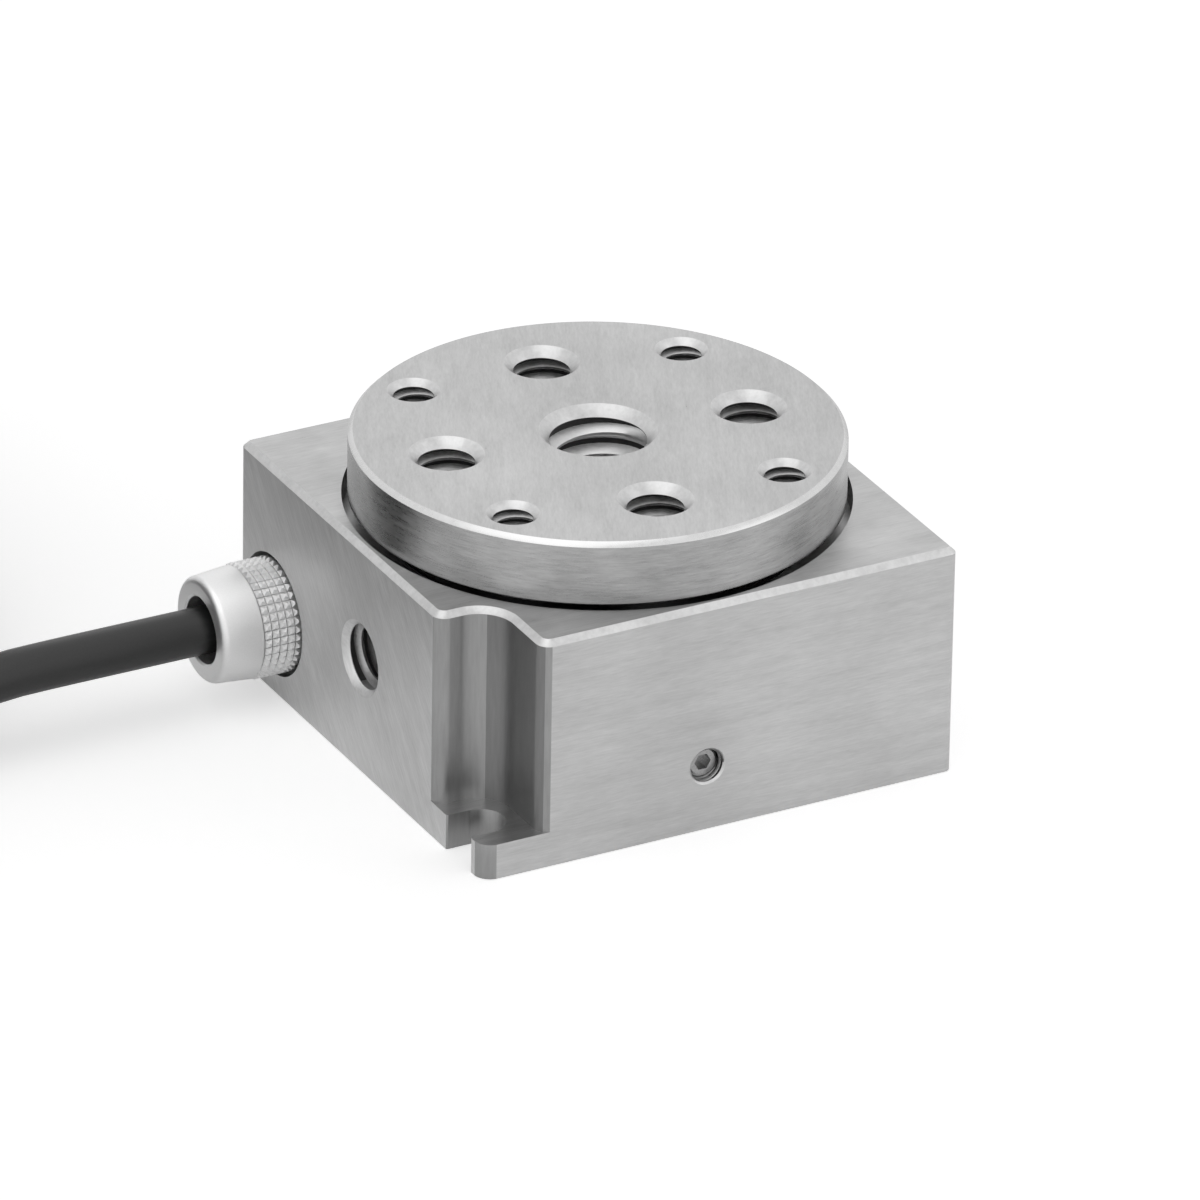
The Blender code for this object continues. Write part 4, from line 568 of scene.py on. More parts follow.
def make_finishes(colours):
    steel = tuple(colours.steel)
    table = tuple(colours.table)
    brushed("body_top_steel", steel, (0.9, 9.0, 9.0), roughness=0.33, contrast=0.24, blotch=0.3)
    # The front's and the sides' steel is the body's steel painted lighter, as light falls on those
    # faces.
    brushed("body_front_steel", scaled(steel, 1.22), (0.9, 6.0, 9.0), roughness=0.4, contrast=0.22)
    # Chamfers and hole mouths are the steel painted lighter, a painted highlight.
    brushed("edge_steel", scaled(steel, 1.3), (2.0, 2.0, 2.0), roughness=0.26, contrast=0.12)
    brushed("mouth_steel", scaled(steel, 1.2), (3.0, 3.0, 3.0), roughness=0.36, contrast=0.24)
    diagonal = (math.radians(38), 0, 0)
    brushed("body_side_steel", scaled(steel, 1.36), (6.0, 8.0, 0.9), diagonal, 0.46, contrast=0.24)
    # The notches are the steel painted darker, a painted shade, and their far wall darker still.
    brushed("body_notch_steel", scaled(steel, 0.76), (5.0, 5.0, 0.5), roughness=0.34, contrast=0.2)
    brushed("notch_wall_steel", scaled(steel, 0.48), (5.0, 5.0, 0.5), roughness=0.34, contrast=0.2)
    # Bores and the gap round the platform are the steel painted near black, a painted shadow.
    brushed("bore_steel", scaled(steel, 0.2), (3.0, 3.0, 3.0), roughness=0.42)
    brushed("table_top_steel", table, (1.6, 8.0, 4.0), (0, 0, math.radians(-64)), contrast=0.24)
    rim = scaled(table, 0.9)
    brushed("table_rim_steel", rim, (0.9, 0.9, 9.0), roughness=0.28, contrast=0.36, blotch=0.2)
    # The threads are the platform's steel painted lighter, as light falls into the holes; the
    # centre one most.
    brushed("thread_steel", scaled(table, 1.05), (3.0, 3.0, 6.0), roughness=0.36, contrast=0.3)
    brushed("centre_thread_steel", scaled(table, 1.45), (3.0, 3.0, 6.0), roughness=0.42)
    brushed("screw_head_steel", scaled(steel, 0.85), (4.0, 4.0, 4.0), roughness=0.28)
    brushed("ring_steel", scaled(table, 1.1), (1.0, 1.0, 12.0), roughness=0.14, contrast=0.06)
    brushed("plug_shell_steel", scaled(table, 1.05), (2.0, 2.0, 2.0), roughness=0.24)
    brushed("cage_brass", (0.62, 0.43, 0.16), (2.0, 2.0, 8.0), roughness=0.34)
    brushed("hub_aluminium", (0.78, 0.78, 0.78), (1.0, 1.0, 10.0), roughness=0.32)
    brushed("pin_gold", tuple(colours.contact), (6.0, 6.0, 6.0), roughness=0.2, contrast=0.05)

    collar = Nodes("collar_aluminium", tuple(colours.collar), 0.42, 1.0)
    bead = collar.noise(collar.place((14.0, 14.0, 14.0)), 1.0, 4.0)
    light = tuple(colours.collar)
    collar.tone(collar.spread(bead, 0.0, 1.0), scaled(light, 0.93), light)
    collar.rough(collar.spread(bead, 0.36, 0.5))
    collar.bump(bead, 0.5, 0.006 * MM)

    jacket = Nodes("cable_jacket", tuple(colours.jacket), 0.36)
    skin = jacket.noise(jacket.place((9.0, 9.0, 9.0)), 1.0, 6.0)
    dark = tuple(colours.jacket)
    jacket.tone(jacket.spread(skin, 0.0, 1.0), scaled(dark, 0.7), scaled(dark, 1.35))
    jacket.rough(jacket.spread(skin, 0.3, 0.44))
    jacket.shader.inputs["Specular IOR Level"].default_value = 0.6
    jacket.bump(skin, 0.5, 0.012 * MM)

    for name, colour, low, high, grain in (
        ("boot_rubber", tuple(colours.rubber), 0.5, 0.68, 5.0),
        ("hood_plastic", tuple(colours.hood), 0.42, 0.55, 7.0),
        ("insulator_plastic", tuple(colours.insulator), 0.36, 0.5, 6.0),
        ("tie_nylon", (0.03, 0.03, 0.03), 0.34, 0.46, 4.0),
        ("lead_plastic", (0.22, 0.22, 0.22), 0.38, 0.5, 6.0),
        ("white_ceramic", (0.80, 0.79, 0.74), 0.22, 0.34, 5.0),
        ("piezo_ceramic", (0.36, 0.29, 0.18), 0.4, 0.55, 5.0),
        ("circuit_board", (0.02, 0.13, 0.05), 0.32, 0.45, 3.0),
        # Black oxide, which also darkens the gap round the platform as a painted shadow.
        ("black_oxide", (0.035, 0.035, 0.037), 0.38, 0.5, 6.0),
    ):
        plain = Nodes(name, colour, low)
        value = plain.noise(plain.place((grain, grain, grain)), 1.0, 5.0)
        plain.tone(plain.spread(value, 0.0, 1.0), scaled(colour, 0.86), scaled(colour, 1.16))
        plain.rough(plain.spread(value, low, high))
        plain.bump(value, 0.4, 0.008 * MM)


# Geometry Nodes


class Tree:
    """A short way to build a Geometry Nodes tree with named inputs."""

    def __init__(self, name, inputs):
        self.tree = bpy.data.node_groups.new(name, "GeometryNodeTree")
        face = self.tree.interface
        face.new_socket("Geometry", in_out="OUTPUT", socket_type="NodeSocketGeometry")
        self.ids = {}
        for label, kind, default in inputs:
            socket = face.new_socket(label, in_out="INPUT", socket_type=kind)
            if default is not None:
                socket.default_value = default
            self.ids[label] = socket.identifier
        self.given = self.tree.nodes.new("NodeGroupInput")
        self.result = self.tree.nodes.new("NodeGroupOutput")

    def value(self, label):
        return self.given.outputs[label]

    def add(self, kind, inputs=None, **settings):
        node = self.tree.nodes.new(kind)
        for key, value in settings.items():
            setattr(node, key, value)
        for key, value in (inputs or {}).items():
            socket = node.inputs[key]
            if isinstance(value, bpy.types.NodeSocket):
                self.tree.links.new(value, socket)
            else:
                socket.default_value = value
        return node

    def math(self, operation, a, b=0.0, c=0.0):
        return self.add("ShaderNodeMath", {0: a, 1: b, 2: c}, operation=operation).outputs[0]

    def times(self, first, *others):
        for other in others:
            first = self.math("MULTIPLY", first, other)
        return first

    def vector(self, x, y, z):
        return self.add("ShaderNodeCombineXYZ", {"X": x, "Y": y, "Z": z}).outputs[0]

    def finish(self, geometry):
        """Ends the tree in real geometry with its material."""
        real = self.add("GeometryNodeRealizeInstances", {"Geometry": geometry})
        paint = self.add(
            "GeometryNodeSetMaterial",
            {"Geometry": real.outputs[0], "Material": self.value("Material")},
        )
        self.tree.links.new(paint.outputs[0], self.result.inputs[0])

    def grown(self, name, finish, values, place):
        """A plain mesh piece from the tree with these inputs, in its finish and its place."""
        paint = finishes()[finish]
        item = link(name, bpy.data.meshes.new(name))
        change = item.modifiers.new("grow", "NODES")
        change.node_group = self.tree
        change[self.ids["Material"]] = paint
        for label, value in values.items():
            change[self.ids[label]] = value
        mesh = baked(item)
        mesh.transform(place)
        cleaned(mesh)
        if not mesh.materials:
            mesh.materials.append(paint)
        return sharp(link(name, mesh), 40.0)


TREES = {}


def tree_named(name, build):
    """The tree of that name, built the first time."""
    if name not in TREES:
        TREES[name] = build(name)
    return TREES[name]


RIDGE_ROWS = 5  # rows of points across a thread's ridge
RIDGE_HALF = 0.375  # half the width of its foot, in pitches
CREST_PULL = 0.5  # how far its crest is drawn together
RIDGE_FADE = 14.0  # it rises out of the wall over one part in 14 of its run


def thread_tree(name):
    """A ridge wound along a hole's wall, repeated round a ring of holes. Local Z runs out of
    the mouth, at height 0; the ridge fades into the wall at both ends."""
    tree = Tree(
        name,
        (
            ("Material", "NodeSocketMaterial", None),
            ("Wall Radius", "NodeSocketFloat", 2.0 * MM),
            ("Ridge Height", "NodeSocketFloat", 0.4 * MM),
            ("Pitch", "NodeSocketFloat", 0.8 * MM),
            ("Turns", "NodeSocketFloat", 4.0),
            ("Start Depth", "NodeSocketFloat", 0.1 * MM),
            ("Start Angle", "NodeSocketFloat", 0.0),
            ("Segments", "NodeSocketInt", 48),
            ("Holes", "NodeSocketInt", 1),
            ("Ring Radius", "NodeSocketFloat", 0.0),
            ("First Angle", "NodeSocketFloat", 0.0),
        ),
    )
    steps = tree.times(tree.value("Turns"), tree.value("Segments"))
    grid = tree.add(
        "GeometryNodeMeshGrid",
        {"Size X": 1.0, "Size Y": 1.0, "Vertices X": steps, "Vertices Y": RIDGE_ROWS},
    )
    place = tree.add("ShaderNodeSeparateXYZ", {0: tree.add("GeometryNodeInputPosition").outputs[0]})
    run = tree.math("ADD", place.outputs["X"], 0.5)
    across = tree.math("ADD", place.outputs["Y"], 0.5)
    across = tree.math("ROUND", tree.times(across, RIDGE_ROWS - 1.0))
    # Rows 0 to 4: the upper foot, the crest's two edges, the lower foot, and the upper foot
    # again, which closes the ridge along the wall.
    crest = tree.times(
        tree.math("GREATER_THAN", across, 0.5), tree.math("LESS_THAN", across, 2.5)
    )
    lift = tree.add(
        "ShaderNodeMapRange",
        {
            "Value": across,
            "From Min": 0.0,
            "From Max": 3.0,
            "To Min": RIDGE_HALF,
            "To Max": -RIDGE_HALF,
        },
    )
    closed = tree.math("COMPARE", across, 4.0, 0.3)
    upright = tree.math(
        "ADD",
        tree.times(lift.outputs[0], tree.math("SUBTRACT", 1.0, closed)),
        tree.times(closed, RIDGE_HALF),
    )
    narrow = tree.math("SUBTRACT", 1.0, tree.times(crest, CREST_PULL))
    height = tree.times(upright, narrow, tree.value("Pitch"))
    ends = tree.math(
        "MINIMUM",
        tree.times(run, RIDGE_FADE),
        tree.times(tree.math("SUBTRACT", 1.0, run), RIDGE_FADE),
    )
    fade = tree.math("MINIMUM", ends, 1.0)
    reach = tree.times(crest, fade, tree.value("Ridge Height"))
    radius = tree.math("SUBTRACT", tree.value("Wall Radius"), reach)
    turned_by = tree.times(run, tree.value("Turns"))
    angle = tree.math("ADD", tree.times(turned_by, 2 * math.pi), tree.value("Start Angle"))
    down = tree.math("ADD", tree.times(turned_by, tree.value("Pitch")), tree.value("Start Depth"))
    moved = tree.add(
        "GeometryNodeSetPosition",
        {
            "Geometry": grid.outputs["Mesh"],
            "Position": tree.vector(
                tree.times(radius, tree.math("COSINE", angle)),
                tree.times(radius, tree.math("SINE", angle)),
                tree.math("SUBTRACT", height, down),
            ),
        },
    )
    spots = tree.add(
        "GeometryNodeMeshCircle",
        {
            "Vertices": tree.math("MAXIMUM", tree.value("Holes"), 3.0),
            "Radius": tree.value("Ring Radius"),
        },
    )
    number = tree.add("GeometryNodeInputIndex").outputs[0]
    turned = tree.add(
        "GeometryNodeTransform",
        {
            "Geometry": spots.outputs[0],
            "Rotation": tree.vector(0.0, 0.0, tree.value("First Angle")),
        },
    )
    copies = tree.add(
        "GeometryNodeInstanceOnPoints",
        {
            "Points": turned.outputs[0],
            "Selection": tree.math("LESS_THAN", number, tree.value("Holes")),
            "Instance": moved.outputs[0],
        },
    )
    tree.finish(copies.outputs[0])
    return tree


TOOTH_WIDTH = 0.95  # a knurl tooth's width, as a share of its place in the row
TOOTH_CREST = 0.22  # half the width of its flat crest, as a share of its own


def knurl_tree(name):
    """Rows of pyramids round a band. Local Z runs along the band, from height 0."""
    tree = Tree(
        name,
        (
            ("Material", "NodeSocketMaterial", None),
            ("Radius", "NodeSocketFloat", 3.1 * MM),
            ("Band", "NodeSocketFloat", 2.4 * MM),
            ("Rows", "NodeSocketInt", 5),
            ("Teeth", "NodeSocketInt", 40),
            ("Tooth Height", "NodeSocketFloat", 0.2 * MM),
            ("Tooth Length", "NodeSocketFloat", 0.5 * MM),
        ),
    )
    around = tree.math("DIVIDE", 2 * math.pi, tree.value("Teeth"))
    wide = tree.times(tree.value("Radius"), around, TOOTH_WIDTH)
    tooth = tree.add(
        "GeometryNodeMeshCone",
        {
            "Vertices": 4,
            "Side Segments": 1,
            "Fill Segments": 1,
            "Radius Top": TOOTH_CREST,
            "Radius Bottom": math.sqrt(0.5),
            "Depth": 1.0,
        },
        fill_type="NGON",
    )
    square = tree.add(
        "GeometryNodeTransform",
        {"Geometry": tooth.outputs["Mesh"], "Rotation": (0.0, 0.0, math.pi / 4)},
    )
    shaped = tree.add(
        "GeometryNodeTransform",
        {
            "Geometry": square.outputs[0],
            "Scale": tree.vector(tree.value("Tooth Length"), wide, tree.value("Tooth Height")),
        },
    )
    laid = tree.add(
        "GeometryNodeTransform",
        {"Geometry": shaped.outputs[0], "Rotation": (0.0, math.pi / 2, 0.0)},
    )
    ring = tree.add(
        "GeometryNodeMeshCircle",
        {"Vertices": tree.value("Teeth"), "Radius": tree.value("Radius")},
    )
    spot = tree.add("ShaderNodeSeparateXYZ", {0: tree.add("GeometryNodeInputPosition").outputs[0]})
    heading = tree.math("ARCTAN2", spot.outputs["Y"], spot.outputs["X"])
    row = tree.add(
        "GeometryNodeInstanceOnPoints",
        {
            "Points": ring.outputs[0],
            "Instance": laid.outputs[0],
            "Rotation": tree.vector(0.0, 0.0, heading),
        },
    )
    step = tree.math("DIVIDE", tree.value("Band"), tree.value("Rows"))
    line = tree.add(
        "GeometryNodeMeshLine",
        {
            "Count": tree.value("Rows"),
            "Start Location": tree.vector(0.0, 0.0, tree.times(step, 0.5)),
            "Offset": tree.vector(0.0, 0.0, step),
        },
    )
    rows = tree.add(
        "GeometryNodeInstanceOnPoints",
        {"Points": line.outputs[0], "Instance": row.outputs[0]},
    )
    tree.finish(rows.outputs[0])
    return tree


PIN_SIDES = 20


def pin_tree(name):
    """Rows of round-ended contact pins, each row set over by a quarter pitch. Local Z runs
    along the pins, from height 0."""
    tree = Tree(
        name,
        (
            ("Material", "NodeSocketMaterial", None),
            ("Pin Radius", "NodeSocketFloat", 0.4 * MM),
            ("Pin Length", "NodeSocketFloat", 4.0 * MM),
            ("Columns", "NodeSocketInt", 5),
            ("Rows", "NodeSocketInt", 3),
            ("Pitch", "NodeSocketFloat", 2.29 * MM),
            ("Row Pitch", "NodeSocketFloat", 1.98 * MM),
        ),
    )
    shank = tree.add(
        "GeometryNodeMeshCylinder",
        {
            "Vertices": PIN_SIDES,
            "Side Segments": 1,
            "Fill Segments": 1,
            "Radius": tree.value("Pin Radius"),
            "Depth": tree.value("Pin Length"),
        },
        fill_type="NGON",
    )
    half = tree.times(tree.value("Pin Length"), 0.5)
    raised = tree.add(
        "GeometryNodeTransform",
        {"Geometry": shank.outputs["Mesh"], "Translation": tree.vector(0.0, 0.0, half)},
    )
    tip = tree.add(
        "GeometryNodeMeshUVSphere",
        {"Segments": PIN_SIDES, "Rings": PIN_SIDES // 2, "Radius": tree.value("Pin Radius")},
    )
    crown = tree.add(
        "GeometryNodeTransform",
        {
            "Geometry": tip.outputs["Mesh"],
            "Translation": tree.vector(0.0, 0.0, tree.value("Pin Length")),
            "Scale": (0.995, 0.995, 0.9),
        },
    )
    pin = tree.add("GeometryNodeJoinGeometry")
    tree.tree.links.new(raised.outputs[0], pin.inputs[0])
    tree.tree.links.new(crown.outputs[0], pin.inputs[0])
    wide = tree.math("SUBTRACT", tree.value("Columns"), 1.0)
    tall = tree.math("SUBTRACT", tree.value("Rows"), 1.0)
    grid = tree.add(
        "GeometryNodeMeshGrid",
        {
            "Size X": tree.times(wide, tree.value("Pitch")),
            "Size Y": tree.times(tall, tree.value("Row Pitch")),
            "Vertices X": tree.value("Columns"),
            "Vertices Y": tree.value("Rows"),
        },
    )
    spot = tree.add("ShaderNodeSeparateXYZ", {0: tree.add("GeometryNodeInputPosition").outputs[0]})
    row = tree.math("ROUND", tree.math("DIVIDE", spot.outputs["Y"], tree.value("Row Pitch")))
    odd = tree.math("ABSOLUTE", tree.math("MODULO", tree.math("ADD", row, tree.value("Rows")), 2.0))
    over = tree.times(
        tree.math("SUBTRACT", 0.25, tree.times(odd, 0.5)), tree.value("Pitch")
    )
    staggered = tree.add(
        "GeometryNodeSetPosition",
        {"Geometry": grid.outputs["Mesh"], "Offset": tree.vector(over, 0.0, 0.0)},
    )
    pins = tree.add(
        "GeometryNodeInstanceOnPoints",
        {"Points": staggered.outputs[0], "Instance": pin.outputs[0]},
    )
    tree.finish(pins.outputs[0])
    return tree


# Pieces


def upper_outline(s):
    return rounded(
        half_turned(
            [
                (-s.half, s.half, s.corner),
                (-s.half, -s.half + s.notch_y, s.notch_edge),
                (-s.half + s.notch_x, -s.half + s.notch_y, s.notch_inner),
                (-s.half + s.notch_x, -s.half, s.notch_edge),
            ]
        )
    )


def foot_outline(s):
    middle = -s.half + s.slot_middle
    half_slot = s.slot_wide / 2
    slot_end = -s.half + s.slot_end
    return rounded(
        half_turned(
            [
                (-s.half, s.half, s.corner),
                (-s.half, middle + half_slot, 0.15 * MM),
                (slot_end, middle + half_slot, half_slot * 0.999),
                (slot_end, middle - half_slot, half_slot * 0.999),
                (-s.half, middle - half_slot, 0.15 * MM),
                (-s.half, -s.half, s.foot_corner),
            ]
        )
    )


# The body's inner bores from the top down: name, radius, lower and upper end in mm.
BORES = (
    ("retainer_bore", 12.2, 11.7, 12.6),
    ("bearing_bore", 11.2, 7.9, 11.8),
    ("cavity", 10.2, -1.0, 8.0),
)
RECESS_RADIUS = 14.45 * MM
RECESS_FLOOR = 12.5 * MM
RECESS_STEPS = 192
BORE_STEPS = 96
COUNTERBORE_RADIUS = 3.67 * MM  # round the collar
COUNTERBORE_DEPTH = 1.6 * MM
GLAND_RADIUS = 2.55 * MM
GLAND_DEPTH = 5.4 * MM
COVER_GAP = 0.2 * MM
COVER_ROUND = 1.0 * MM
COVER_DEPTH = 1.6 * MM
COVER_CUT = (-8.8 * MM, -5.4 * MM)  # where the cover's cut corner begins


def body_cutters(s):
    """The bores, pockets and holes of the body."""
    y, z = GLAND
    low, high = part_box("bottom_cover")
    left = low[0] - COVER_GAP
    corners = half_turned(
        [
            (left, high[1] + COVER_GAP, COVER_ROUND),
            (left, COVER_CUT[1], COVER_ROUND),
            (COVER_CUT[0], low[1] - COVER_GAP, COVER_ROUND),
        ]
    )
    return [
        rod("recess", RECESS_RADIUS, (0, 0, RECESS_FLOOR), (0, 0, s.height + MM), RECESS_STEPS),
        *[
            rod(name, radius * MM, (0, 0, lower * MM), (0, 0, upper * MM), BORE_STEPS)
            for name, radius, lower, upper in BORES
        ],
        rod(
            "collar_counterbore",
            COUNTERBORE_RADIUS,
            (-s.half + COUNTERBORE_DEPTH, y, z),
            (-s.half - MM, y, z),
            BORE_STEPS,
        ),
        rod("gland_bore", GLAND_RADIUS, (-s.half + GLAND_DEPTH, y, z), (-s.half + MM, y, z)),
        hole(
            "side_hole",
            s.side_tap,
            0.19 * MM,
            s.side_tap_depth,
            (-s.half, 0, s.side_tap_height),
            (-1, 0, 0),
            countersink=s.side_sink,
        ),
        hole(
            "adjuster_hole",
            s.adjuster_hole,
            0.12 * MM,
            2.8 * MM,
            (s.adjuster_x, -s.half, s.adjuster_height),
            (0, -1, 0),
            48,
        ),
        prism("cover_pocket", rounded(corners), -MM, COVER_DEPTH),
    ]


BODY_FINISHES = (
    "body_top_steel",
    "body_front_steel",
    "body_side_steel",
    "body_notch_steel",
    "bore_steel",
    "mouth_steel",
    "notch_wall_steel",
)
TOP_EDGE = 0.5 * MM  # the top's chamfer lies within it
SKIN = 0.6 * MM  # what is deeper than this under a side face is a bore's wall
BORE_REACH = 14.6 * MM  # and lies nearer to the axis than this
NOTCH_REACH = 3 * MM  # a notch's rounds end within it


def body_rule(s):
    """Which finish a face of the body takes, by where it is and which way it faces."""
    # The finishes are one steel, painted lighter on the front and sides, with a painted highlight
    # on the chamfer and painted shade in the notches and bores.
    inside = s.half - SKIN
    outside = s.half - 0.01 * MM
    notch_y = s.half - s.notch_y
    near_x = s.half - s.notch_x - NOTCH_REACH
    near_y = notch_y - NOTCH_REACH

    def rule(face):
        x, y, z = face.center
        nx, ny, nz = face.normal
        if abs(nz) > LEVEL:
            return "body_top_steel"
        # The top's chamfer takes a painted highlight.
        if nz > SLOPED and z > s.height - TOP_EDGE:
            return "mouth_steel"
        # The bores' walls and the recess round the platform take painted shadow.
        in_bore = math.hypot(x, y) < BORE_REACH and z > 2.0 * MM
        if in_bore and abs(x) < inside and abs(y) < inside:
            return "bore_steel"
        # The notches take painted shade, deepest on the far wall.
        in_notch = (x < -near_x and y < -near_y) or (x > near_x and y > near_y)
        if in_notch and abs(x) < outside and abs(y) < outside:
            far_wall_in_painted_shade = abs(nx) > 0.6 and abs(y) > notch_y and z > 4 * MM
            return "notch_wall_steel" if far_wall_in_painted_shade else "body_notch_steel"
        # The front and the sides take the steel painted lighter where light falls on them.
        return "body_front_steel" if abs(ny) > 0.75 else "body_side_steel"

    return rule


def adjuster_threads(s):
    values = {
        "Wall Radius": s.adjuster_hole,
        "Ridge Height": 0.07 * MM,
        "Pitch": 0.35 * MM,
        "Turns": 2.0,
        "Start Depth": 0.12 * MM,
        "Segments": 48,
    }
    place = facing((s.adjuster_x, -s.half, s.adjuster_height), (0, -1, 0))
    return tree_named("Hole Threads", thread_tree).grown(
        "adjuster_hole_thread", "thread_steel", values, place
    )


def side_threads(s, t):
    values = {
        "Wall Radius": s.side_tap,
        "Ridge Height": 0.4 * MM,
        "Pitch": t.large_pitch,
        "Turns": 3.0,
        "Start Depth": s.side_sink + 0.33 * t.large_pitch,
        "Segments": t.segments,
    }
    place = facing((-s.half, 0, s.side_tap_height), (-1, 0, 0))
    return tree_named("Hole Threads", thread_tree).grown(
        "side_hole_thread", "thread_steel", values, place
    )


class STAGE_OT_body(bpy.types.Operator):
    """Machined body with its recess, notches, clamping feet and threaded holes"""

    bl_idname = "stage.body"
    bl_label = "Body"

    def execute(self, context):
        s = context.scene.stage_body_sizes
        body = prism("machined_body", upper_outline(s), s.foot / 2, s.height)
        body = softened(body, s.chamfer, 60.0, 1)
        foot = prism("foot", foot_outline(s), 0.0, s.foot)
        body = combined(body, [foot], "UNION")
        body = combined(body, body_cutters(s), "DIFFERENCE")
        body = softened(body, 0.045 * MM, 40.0)
        painted(body, *BODY_FINISHES, rule=body_rule(s))
        placed(sharp(body), "base", "stage_body")
        placed(side_threads(s, context.scene.stage_thread_sizes), "base")
        placed(adjuster_threads(s), "base")
        cover = from_node("bottom_cover", "machined_cover", 0.06 * MM)
        painted(cover, "body_top_steel")
        placed(cover, "base", "bottom_cover")
        return {"FINISHED"}


class STAGE_OT_adjuster(bpy.types.Operator):
    """Adjusting screw with its hex socket, in the front face"""

    bl_idname = "stage.adjuster"
    bl_label = "Adjusting Screw"

    def execute(self, context):
        s = context.scene.stage_body_sizes
        low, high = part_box("preload_screw")
        radius = (high[0] - low[0]) / 2
        deep = high[1] - low[1]
        chamfer = 0.14 * MM
        groove = 0.07 * MM
        grooves = 5
        profile = [(0.0, 0.0), (radius - chamfer, 0.0), (radius, -0.1 * MM)]
        for k in range(grooves):
            z = chamfer + (deep - 0.3 * MM) * k / grooves
            profile += [(radius, -z), (radius - groove, -z - 0.09 * MM)]
        profile += [(radius - groove, -deep), (0.0, -deep)]
        place = facing((s.adjuster_x, low[1], s.adjuster_height), (0, -1, 0))
        screw = lathe("hex_adjusting_screw", profile, 48, place)
        start = (s.adjuster_x, low[1] + 0.75 * MM, s.adjuster_height)
        end = (s.adjuster_x, low[1] - 0.5 * MM, s.adjuster_height)
        screw = combined(screw, [rod("hex", 0.52 * MM, start, end, 6)], "DIFFERENCE")
        painted(screw, "screw_head_steel")
        placed(sharp(screw), "adjuster", "preload_screw")
        return {"FINISHED"}


THREAD_HEIGHT = 0.47  # a platform thread's ridge, in pitches
THREAD_START = 0.45  # its first turn below the countersink, in pitches
THREAD_TURN = math.radians(-64.5)
NECK_RADIUS = 6.9 * MM  # the platform's neck, which the hub carries
NECK_END = 11.9 * MM
SPIGOT_RADIUS = 6.3 * MM  # the thinner end below it
RIM_UNDER = 0.12 * MM  # chamfer of the plate's lower rim


def hole_rings(s, t):
    """The platform's threaded holes. Each ring has its name, wall radius, ring radius, first
    angle, number of holes, mouth, countersink, pitch and turns."""
    large = (s.large, s.large_ring, s.turned, s.holes, s.large_mouth, s.large_sink)
    between = s.turned + math.pi / s.holes
    small = (s.small, s.small_ring, between, s.holes, s.small_mouth, s.small_sink)
    return (
        ("centre", s.centre, 0.0, 0.0, 1, s.mouth, s.sink, t.centre_pitch, 6.4),
        ("large", *large, t.large_pitch, 3.4),
        ("small", *small, t.small_pitch, 4.4),
    )


def turned_platform(s):
    """The platform with its centre hole."""
    low = TABLE_LOW[2]
    cone_end = s.top - s.sink
    narrow = s.centre + s.mouth - s.sink
    profile = [
        (s.radius - s.chamfer, s.top),
        (s.radius, s.top - s.chamfer),
        (s.radius, s.bottom + RIM_UNDER),
        (s.radius - RIM_UNDER, s.bottom),
        (NECK_RADIUS, s.bottom),
        (NECK_RADIUS, NECK_END),
        (SPIGOT_RADIUS, NECK_END),
        (SPIGOT_RADIUS, low),
        (s.centre, low),
        (s.centre, cone_end - SINK_END),
        (narrow, cone_end - SINK_WALL),
        (narrow, cone_end),
        (s.centre + s.mouth, s.top),
    ]
    return lathe("turned_platform", profile, 256)


class STAGE_OT_table(bpy.types.Operator):
    """Round platform with its rings of holes, and the threads in them"""

    bl_idname = "stage.table"
    bl_label = "Platform"

    def execute(self, context):
        s = context.scene.stage_table_sizes
        t = context.scene.stage_thread_sizes
        rings = hole_rings(s, t)
        thick = s.top - s.bottom + MM
        tools = []
        for name, radius, ring, first, count, mouth, sink, *_ in rings[1:]:
            for k in range(count):
                angle = first + 2 * math.pi * k / count
                spot = (ring * math.cos(angle), ring * math.sin(angle), s.top)
                up = (0, 0, 1)
                tools.append(hole(f"{name}_{k}", radius, mouth, thick, spot, up, countersink=sink))
        table = combined(turned_platform(s), tools, "DIFFERENCE")
        table = softened(table, 0.03 * MM, 38.0)

        def rule(face):
            if abs(face.normal.z) > LEVEL:
                return "table_top_steel"
            outer = math.hypot(*face.center[:2]) > s.radius - 0.35 * MM
            # The rim's chamfer and the holes' mouths take a painted highlight, the holes' walls
            # painted shadow.
            if face.normal.z > SLOPED and face.center.z > s.top - 0.95 * MM:
                return "edge_steel" if outer else "mouth_steel"
            return "table_rim_steel" if outer else "bore_steel"

        names = ("table_top_steel", "table_rim_steel", "bore_steel", "edge_steel", "mouth_steel")
        painted(table, *names, rule=rule)
        placed(sharp(table), "turntable", "platform")
        tree = tree_named("Hole Threads", thread_tree)
        for name, radius, ring, first, count, _, sink, pitch, turns in rings:
            values = {
                "Wall Radius": radius,
                "Ridge Height": pitch * THREAD_HEIGHT,
                "Pitch": pitch,
                "Turns": turns,
                "Start Depth": sink + THREAD_START * pitch,
                "Start Angle": THREAD_TURN,
                "Segments": t.segments,
                "Holes": count,
                "Ring Radius": ring,
                "First Angle": first,
            }
            # The centre thread takes the most painted light.
            finish = "centre_thread_steel" if name == "centre" else "thread_steel"
            place = Matrix.Translation((0, 0, s.top))
            placed(tree.grown(f"{name}_hole_threads", finish, values, place), "turntable")
        return {"FINISHED"}


